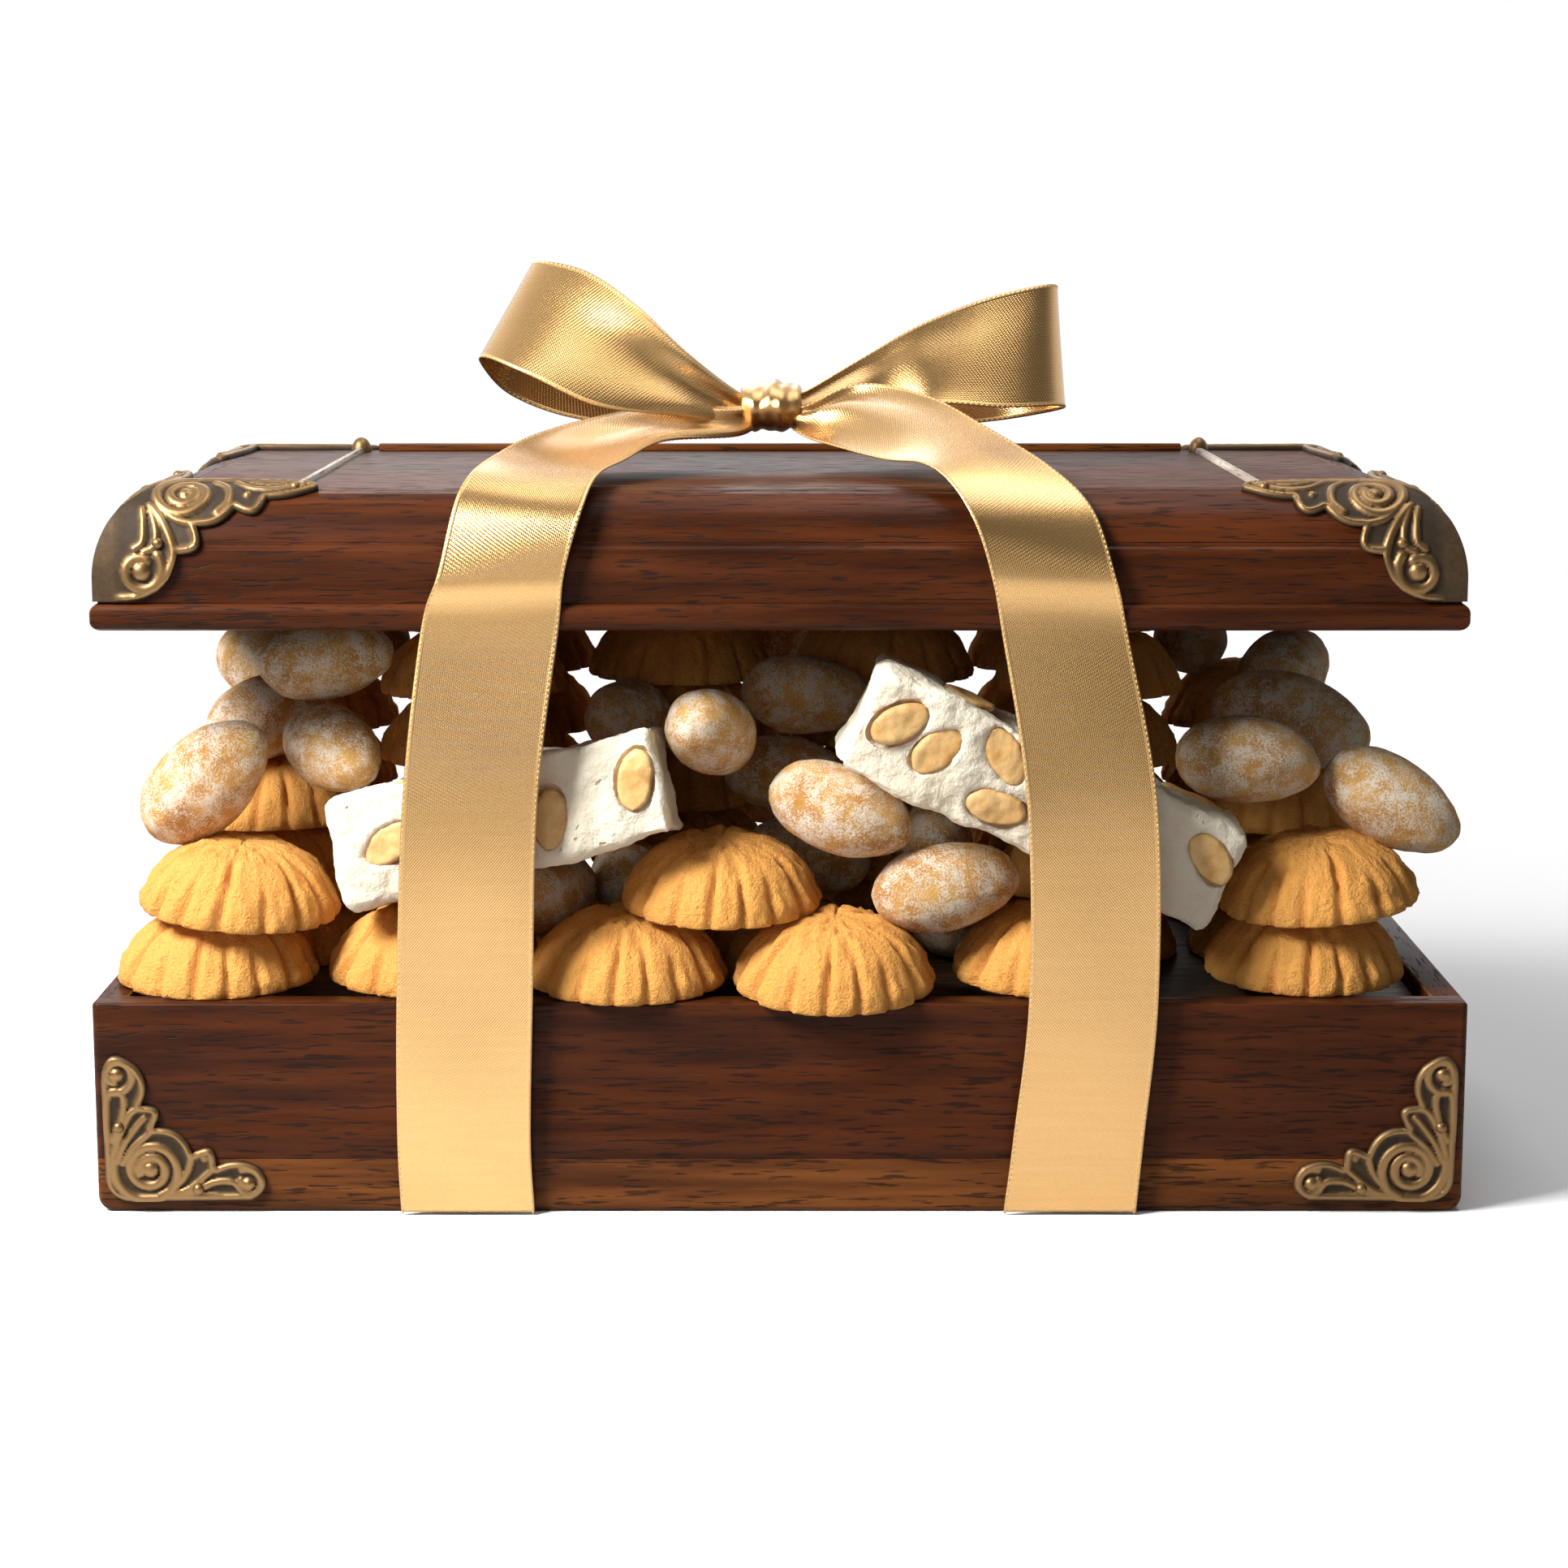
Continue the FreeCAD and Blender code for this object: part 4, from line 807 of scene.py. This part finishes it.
lid_edge = scalloped([
    (0, 0.4, 0), (6, 0.4, 0.2), (17.4, 10.4, 0.42), (21.3, 16.4, 0.16), (29.2, 20.6, 0.4), (35.8, 23.6, 0.08),
    (44.6, 26.4, 0.45), (44.8, 30.2, 0.05), (0, 31.2, 0),
])
lid_ridges = [
    (scroll(9.6, 6.8, 2.6, 4.9, 60, 0.95), 1.15, 0.85),
    (scroll(18.2, 24.6, 2.2, 7.4, 40, -1.9), 1.2, 0.85),
    (smooth_line([(12.5, 3.2), (15.6, 6.5), (16.6, 11), (14.2, 17), (11.4, 21)]), 0.98, 0.8),
    (smooth_line([(8.2, 11.4), (9.9, 13), (9.9, 17), (9.4, 20.5)]), 0.83, 0.7),
    (smooth_line([(10.4, 10.8), (12.4, 12), (12.7, 15.5), (10.8, 21.5)]), 0.83, 0.7),
    (smooth_line([(13.6, 20.5), (17, 17.8), (21.4, 16.8)]), 0.90, 0.75),
    (smooth_line([(25.4, 19.6), (27.6, 22.6), (27, 27), (24, 30)]), 0.90, 0.75),
    (smooth_line([(28.6, 30), (32, 27.2), (37, 26.6), (42, 28.2)]), 0.83, 0.7),
    (smooth_line([(31, 30.2), (36, 28.6), (41, 29)]), 0.45, 0.6),
]
lid_beads = [(9.7, 6.8, 2.0, 1.3), (18.2, 24.6, 1.7, 1.25), (31.6, 24.6, 1.0, 0.8), (42.4, 28.4, 1.4, 1.0)]
lid_net = stamped(lid_edge, lid_ridges, lid_beads, 0.42, 6)
for east, north, node in ((-1, -1, "lid_corner_front_left"), (1, -1, "lid_corner_front_right"),
                          (-1, 1, "lid_corner_back_left"), (1, 1, "lid_corner_back_right")):
    joined = bmesh.new()
    for along_x in (True, False):
        def on_dome(x, y, proud):
            deep, high, slope = up_the_dome(y)
            deep -= proud * math.cos(slope)
            high += proud * math.sin(slope)
            run = max(x + min(deep, 0) * max(1 - x, 0), deep)
            first, second = (run, deep) if along_x else (deep, run)
            return (east * (dome_half_wide - first) * mm, north * (dome_half_deep - second) * mm,
                    (dome_foot + high) * mm)

        joined.from_mesh(stamping(node + "_leaf", lid_net, on_dome))
    bmesh.ops.remove_doubles(joined, verts=joined.verts, dist=weld)
    apart = (dome_half_wide - dome_half_deep) * mm
    mitre = {vert for vert in joined.verts if abs(abs(vert.co.x) - abs(vert.co.y) - apart) < 2 * weld}
    inside = [face for face in joined.faces if mitre.issuperset(face.verts)]
    bmesh.ops.delete(joined, geom=inside, context="FACES")
    bmesh.ops.recalc_face_normals(joined, faces=joined.faces)
    corner = bpy.data.meshes.new(node + "_scroll")
    joined.to_mesh(corner)
    joined.free()
    seat(brass_piece(node + "_scroll", corner), "lid", "brass", node)
seat(rubbed_brass("lid_pins", "lid_corner_pins"), "lid", "brass", "lid_corner_pins")

# Ribbon
# Champagne satin ribbon with a stitched selvedge, tied once round itself into a bow that stands on the lid;
# its two tails run forward over the lid's edge and hang down the front to the floor.

ribbon_wide = 29 * mm
ribbon_thick = 0.28 * mm
stitch_pitch = 1.25 * mm
stitch_thick = 0.26 * mm
lid_top = 158.2
left_loop = [
    ((-4, -13.5, 17), (-4, -14, 12.5)),
    ((-9.3, -15, 18), (-9.3, -16, 11)), ((-21, -17, 27), (-22, -22, 13)),
    ((-32.5, -13, 37.5), (-41, -26, 15.5)),
    ((-44, -6, 45), (-57, -24, 22.5)), ((-55, 1, 47.5), (-67, -16, 26)), ((-57.5, 8, 46), (-69, -6, 24)),
    ((-50, 15, 42), (-63, 3, 16.5)), ((-36, 13, 33), (-48, 4, 11)), ((-20, 3, 22), (-24, 0, 9)),
    ((-9.3, -5, 17), (-9.3, -6, 10)), ((-4, -9.5, 17), (-4, -10, 12.5)),
]
right_loop = [
    ((0, -13.5, 17), (0, -14, 12.5)),
    ((5.3, -15, 18), (5.3, -16, 11)), ((19, -6, 25.5), (22, -11, 13.5)), ((32.5, -3, 33), (36, -14, 15.5)),
    ((48, 0, 39), (51, -13, 14.5)), ((62, 6, 42), (64, -6, 14.5)), ((65, 13, 41), (65.5, 4, 13)),
    ((58, 21, 38), (52, 13, 10)), ((40, 18, 31), (34, 11, 8.5)), ((18, 5, 24), (16, 2, 8.5)),
    ((5.3, -5, 17), (5.3, -6, 10)), ((0, -9.5, 17), (0, -10, 12.5)),
]
left_tail = [
    ((-4, -14, 16), (-4, -14.5, 12)),
    ((-9.3, -18.7, 15), (-9.3, -19.9, 8.5)), ((-31, -16.3, 14.5), (-26, -32.1, 8)),
    ((-50, -29.1, 11), (-34, -48, 5)),
    ((-61, -46.8, 7), (-39.5, -63.2, 2.5)), ((-68.5, -66.9, 0.5), (-42.5, -73, -5)),
    ((-73, -74.95, -17.3), (-46, -74.95, -17.3)), ((-77, -73.55, -29.9), (-47.5, -73.55, -29.9)),
    ((-81, -78.95, -66.1), (-52, -78.95, -66.1)), ((-83, -78.75, -108.6), (-53.5, -78.75, -108.6)),
    ((-83.5, -78.15, -140.1), (-54.4, -78.15, -140.1)), ((-83, -77.55, -157.4), (-53.8, -77.55, -157.4)),
]
right_tail = [
    ((0, -14, 16), (0, -14.5, 12)),
    ((5.3, -18.7, 15), (5.3, -19.9, 8.5)), ((18, -15, 20), (12, -32.1, 7)), ((33, -27.2, 18), (23, -46.2, 5)),
    ((47, -41.9, 11), (31, -59, 5)), ((59, -57.8, 4), (36.5, -66.9, 1.5)),
    ((67, -68.7, -4), (41.5, -73, -6.5)),
    ((71.5, -74.95, -17.3), (45, -74.95, -17.3)), ((74.5, -73.55, -29.9), (47.5, -73.55, -29.9)),
    ((81, -78.95, -66.1), (53, -78.95, -66.1)), ((82, -78.75, -108.6), (54, -78.75, -108.6)),
    ((79.5, -78.15, -140.1), (51, -78.15, -140.1)), ((78, -77.55, -157.4), (49, -77.55, -157.4)),
]


def satin(root, place):
    """Fine twill with a firmer edge, laid on the strip's own map."""
    strip = root.add("UVMap")
    across = strip.part(0)
    along = strip.part(1)
    twill = root.sum("SINE", across * 300 + along * 240)
    warp = root.sum("SINE", across * 420)
    edge = root.sum("ABSOLUTE", across - 0.5).step(0.462, 0.478)
    slub = place.stretched(40, 40, 900).grain(1.0, 2.0).step(0.2, 0.9)
    thread = twill * 0.5 + warp * 0.5
    colour = (slub * 0.2 + edge * 0.3 + 0.2).between((0.54, 0.305, 0.105), (0.72, 0.46, 0.195))
    return {"Base Color": colour, "Roughness": 0.25 + edge * 0.15 + thread * 0.03,
            "Normal": (thread * 0.5 + edge * 1.5).bump(0.12 * mm, 0.4)}


gold_satin = finish_of("gold_satin", satin, Metallic=0.92, Coat_Weight=0.5, Coat_Roughness=0.22)


def ribbon(name, crossings, gathers, folds):
    """A strip through crossings; gathers is how far from each end its pleats reach, folds their count."""
    edges = [smooth_line([pair[side] for pair in crossings], 18) for side in (0, 1)]
    middle = (edges[0] + edges[1]) / 2
    way = np.concatenate([[0], np.cumsum(np.linalg.norm(np.diff(middle, axis=0), axis=1))])
    stations = np.linspace(0, way[-1], max(90, int(way[-1] / 1.1)))
    lines = [np.column_stack([np.interp(stations, way, edge[:, k]) for k in range(3)]) for edge in edges]
    count = 36
    points = []
    maps = []
    ahead = np.gradient((lines[0] + lines[1]) / 2, axis=0)
    for k, s in enumerate(stations):
        a, b = lines[0][k], lines[1][k]
        normal = np.cross(ahead[k], b - a)
        normal /= np.linalg.norm(normal)
        width = np.linalg.norm(b - a)
        pleat = sum(math.exp(-((s if end == 0 else way[-1] - s) / reach) ** 1.5)
                    for end, reach in enumerate(gathers) if reach)
        ripple = 0.25 * math.sin(s * 0.09) * (1 - pleat)
        for j in range(count + 1):
            u = j / count
            wave = math.sin(2 * math.pi * folds * u + 0.6 * math.sin(5 * u)) * math.sin(math.pi * u) ** 0.35
            rise = pleat * min(2.0, 0.14 * width) * wave + ripple * math.sin(math.pi * u)
            points.append(tuple((a + (b - a) * u + normal * rise + (0, 0, lid_top)) * mm))
            maps.append((u, s * mm / ribbon_wide))
    rows = len(stations)
    faces = []
    for k in range(rows - 1):
        for j in range(count):
            low = k * (count + 1) + j
            faces.append((low, low + 1, low + count + 2, low + count + 1))
    mesh = bpy.data.meshes.new(name)
    mesh.from_pydata(points, [], faces)
    layer = mesh.uv_layers.new(name="UVMap")
    layer.data.foreach_set("uv", [c for loop in mesh.loops for c in maps[loop.vertex_index]])
    mesh.materials.append(gold_satin)
    mesh.shade_smooth()
    made = laid_out(name, mesh)
    body = made.modifiers.new("Cloth", "SOLIDIFY")
    body.thickness = ribbon_thick
    body.offset = 0
    plain_from(made)
    made.data.shade_smooth()
    return made, way[-1] * mm, [line * mm + np.array((0, 0, lid_top * mm)) for line in lines]


def stitch_tree():
    """Geometry Nodes: short stitches end to end along a line, with their pitch and thickness as inputs."""
    tree, source = node_tree("selvedge_stitches", Line="Geometry", Pitch="Float", Thick="Float",
                             Finish="Material")
    nodes, links = tree.nodes, tree.links
    curve = nodes.new("GeometryNodeMeshToCurve")
    spaced = nodes.new("GeometryNodeCurveToPoints")
    spaced.mode = "LENGTH"
    bead = nodes.new("GeometryNodeMeshUVSphere")
    bead.inputs["Segments"].default_value = 6
    bead.inputs["Rings"].default_value = 4
    bead.inputs["Radius"].default_value = 1.0
    size = nodes.new("ShaderNodeCombineXYZ")
    long = nodes.new("ShaderNodeMath")
    long.operation = "MULTIPLY"
    long.inputs[1].default_value = 0.42
    place = nodes.new("GeometryNodeInstanceOnPoints")
    links.new(source.outputs["Line"], curve.inputs["Mesh"])
    links.new(curve.outputs["Curve"], spaced.inputs["Curve"])
    links.new(source.outputs["Pitch"], spaced.inputs["Length"])
    links.new(source.outputs["Pitch"], long.inputs[0])
    links.new(source.outputs["Thick"], size.inputs[0])
    links.new(source.outputs["Thick"], size.inputs[1])
    links.new(long.outputs[0], size.inputs[2])
    links.new(spaced.outputs["Points"], place.inputs["Points"])
    links.new(spaced.outputs["Rotation"], place.inputs["Rotation"])
    links.new(bead.outputs["Mesh"], place.inputs["Instance"])
    links.new(size.outputs[0], place.inputs["Scale"])
    close_tree(tree, source, place)
    return tree


def thread_paint(root, place):
    """Gold thread, uneven in tone."""
    return {"Base Color": place.grain(900, 2.0).between((0.5, 0.28, 0.09), (0.74, 0.48, 0.2)),
            "Roughness": 0.4 + place.grain(1500, 1.0) * 0.2}


selvedge_thread = finish_of("selvedge_thread", thread_paint, Metallic=0.3)
stitches = stitch_tree()


def selvedge(name, lines):
    """The stitched edges of a ribbon, just inside its two long sides."""
    points = []
    joins = []
    for side in (0, 1):
        near, far = lines[side], lines[1 - side]
        start = len(points)
        points += [tuple(p) for p in near + (far - near) * 0.012]
        joins += [(k, k + 1) for k in range(start, len(points) - 1)]
    mesh = bpy.data.meshes.new(name)
    mesh.from_pydata(points, joins, [])
    return grown(laid_out(name, mesh), stitches, Pitch=stitch_pitch, Thick=stitch_thick,
                 Finish=selvedge_thread)


for node, crossings, gathers, folds, held, rests in (
    ("bow_left_loop", left_loop, (26, 22), 1.5, "gathered", ["bow_knot"]),
    ("bow_right_loop", right_loop, (26, 22), 1.5, "gathered", ["bow_knot"]),
    ("ribbon_left_tail", left_tail, (30, 0), 1.5, "hung", ["lid_rim_front"]),
    ("ribbon_right_tail", right_tail, (32, 0), 1.5, "hung", ["lid_rim_front"]),
):
    strip, length, lines = ribbon(node + "_satin", crossings, gathers, folds)
    edging = selvedge(node + "_selvedge", lines)
    seat(strip, "lid", "ribbon", node)
    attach(edging, "lid")

# Knot
# One short turn of the same ribbon drawn tight round the middle of the bow and creased by the pull.
# It holds the loops and both tails, whose ends run into it.

knot_left = -9
knot_wide = 14
knot_middle = -12
knot_level = 14.75
knot_deep = 9.0
knot_tall = 5.7
fold_high = 0.5


def knot_form():
    """A soft barrel round the bow's middle with slanting folds."""
    around, across = 96, 40
    points = []
    maps = []
    for k in range(around):
        angle = 2 * math.pi * k / around
        for j in range(across + 1):
            u = j / across
            soft = math.sin(math.pi * u) ** 0.5
            full = 0.7 + 0.3 * soft
            crease = 0.7 * math.sin(2 * math.pi * (2.1 * u + 0.24 * math.sin(angle + 0.4)))
            crease += 0.4 * math.sin(2 * math.pi * (4.3 * u - 0.35 * math.cos(angle)))
            slip = 0.9 * math.sin(angle + 0.5)
            fold = fold_high * soft * crease
            points.append(((knot_left + knot_wide * u + slip * math.sin(math.pi * u)) * mm,
                           (knot_middle + (knot_deep * full + fold) * math.cos(angle)) * mm,
                           (lid_top + knot_level + (knot_tall * full + fold) * math.sin(angle)) * mm))
            maps.append((0.1 + 0.8 * u, 2 * k / around))
    faces = []
    row = across + 1
    for k in range(around):
        after = (k + 1) % around
        for j in range(across):
            faces.append((k * row + j, after * row + j, after * row + j + 1, k * row + j + 1))
    for j, flip in ((0, False), (across, True)):
        cap = [k * row + j for k in range(around)]
        faces.append(cap if flip else cap[::-1])
    mesh = bpy.data.meshes.new("bow_knot_satin")
    mesh.from_pydata(points, [], faces)
    form = bmesh.new()
    form.from_mesh(mesh)
    bmesh.ops.recalc_face_normals(form, faces=form.faces)
    form.to_mesh(mesh)
    form.free()
    layer = mesh.uv_layers.new(name="UVMap")
    layer.data.foreach_set("uv", [c for loop in mesh.loops for c in maps[loop.vertex_index]])
    mesh.materials.append(gold_satin)
    mesh.shade_smooth()
    mesh.set_sharp_from_angle(angle=math.radians(50))
    return laid_out("bow_knot_satin", mesh)


seat(knot_form(), "lid", "ribbon", "bow_knot")

# Studio
# A pale floor, a white surround, a soft key light from the upper left with four weaker lamps, and the
# photograph's viewpoint.

photo_wide = 1932
focal_pixels = 4200
sensor_wide = 36
look_down = 9.515

floor_mesh = bpy.data.meshes.new("studio_floor")
floor_mesh.from_pydata([(-3, -3, 0), (3, -3, 0), (3, 3, 0), (-3, 3, 0)], [], [(0, 1, 2, 3)])
floor = laid_out("studio_floor", floor_mesh)


def seen_rays(root, mirrored):
    """1 for what the camera sees directly or through glass, and mirrored for what shines in a surface."""
    camera, glass, gloss = (root.add("LightPath", None, None, f"Is {ray} Ray")
                            for ray in ("Camera", "Transmission", "Glossy"))
    return root.sum("MAXIMUM", root.sum("MAXIMUM", camera, glass), gloss * mirrored)


paper = bpy.data.materials.new("studio_paper")
paper.use_nodes = True
ground = Tone(paper.node_tree)
seen = seen_rays(ground, 1.0)
away = ground.add("VectorMath", {"operation": "LENGTH"}, {0: ground.add("TexCoord", None, None, 3)}, 1)
sheet = paper.node_tree.nodes["Principled BSDF"]
sheet.inputs["Roughness"].default_value = 0.9
shade = seen.between((0.3, 0.3, 0.3), (0.93, 0.93, 0.93))
paper.node_tree.links.new(shade.socket, sheet.inputs["Base Color"])
near = Tone(paper.node_tree, sheet.outputs[0])
blend = ground.add("MixShader", None, {0: away.step(0.2, 0.46) * seen, 1: near, 2: ground.add("Emission")})
paper.node_tree.links.new(blend.socket, paper.node_tree.nodes["Material Output"].inputs["Surface"])
floor_mesh.materials.append(paper)

world = bpy.data.worlds.new("studio_surround")
bpy.context.scene.world = world
world.use_nodes = True
air = Tone(world.node_tree)
behind = air.add("TexCoord").part(1).step(-0.1, 0.5)
strength = air.sum("MAXIMUM", seen_rays(air, 0.1 + behind * 0.9), 0.08)
surround = world.node_tree.nodes["Background"]
surround.inputs["Color"].default_value = (1, 1, 1, 1)
world.node_tree.links.new(strength.socket, surround.inputs["Strength"])

for name, place, aim, wide, high, power in (
    ("key", (-0.44, -0.33, 0.52), (-0.03, 0.0, 0.09), 0.26, 0.26, 11.0),
    ("fill", (0.95, -1.0, 0.4), (0.0, 0.0, 0.08), 0.7, 0.7, 0.25),
    ("rim", (-0.2, 0.95, 0.75), (0.0, 0.0, 0.08), 0.6, 0.4, 2.5),
    ("front", (-0.25, -1.25, 0.3), (0.0, 0.0, 0.06), 0.5, 0.3, 1.0),
    ("top", (0.15, 0.0, 0.95), (0.0, 0.0, 0.1), 0.5, 0.4, 3.2),
):
    lamp = bpy.data.lights.new(name, "AREA")
    lamp.shape = "RECTANGLE"
    lamp.size = wide
    lamp.size_y = high
    lamp.energy = power
    light = laid_out(name, lamp)
    light.location = place
    light.rotation_euler = (Vector(aim) - Vector(place)).to_track_quat("-Z", "Y").to_euler()

lens = bpy.data.cameras.new("viewpoint")
lens.sensor_width = sensor_wide
lens.lens = sensor_wide * focal_pixels / photo_wide
lens.shift_x = 0.0026
eye = laid_out("viewpoint", lens)
eye.location = (0, -0.799, 0.2168)
eye.rotation_euler = (math.radians(90 - look_down), 0, 0)
bpy.context.scene.camera = eye
bpy.context.scene.view_settings.view_transform = "Standard"
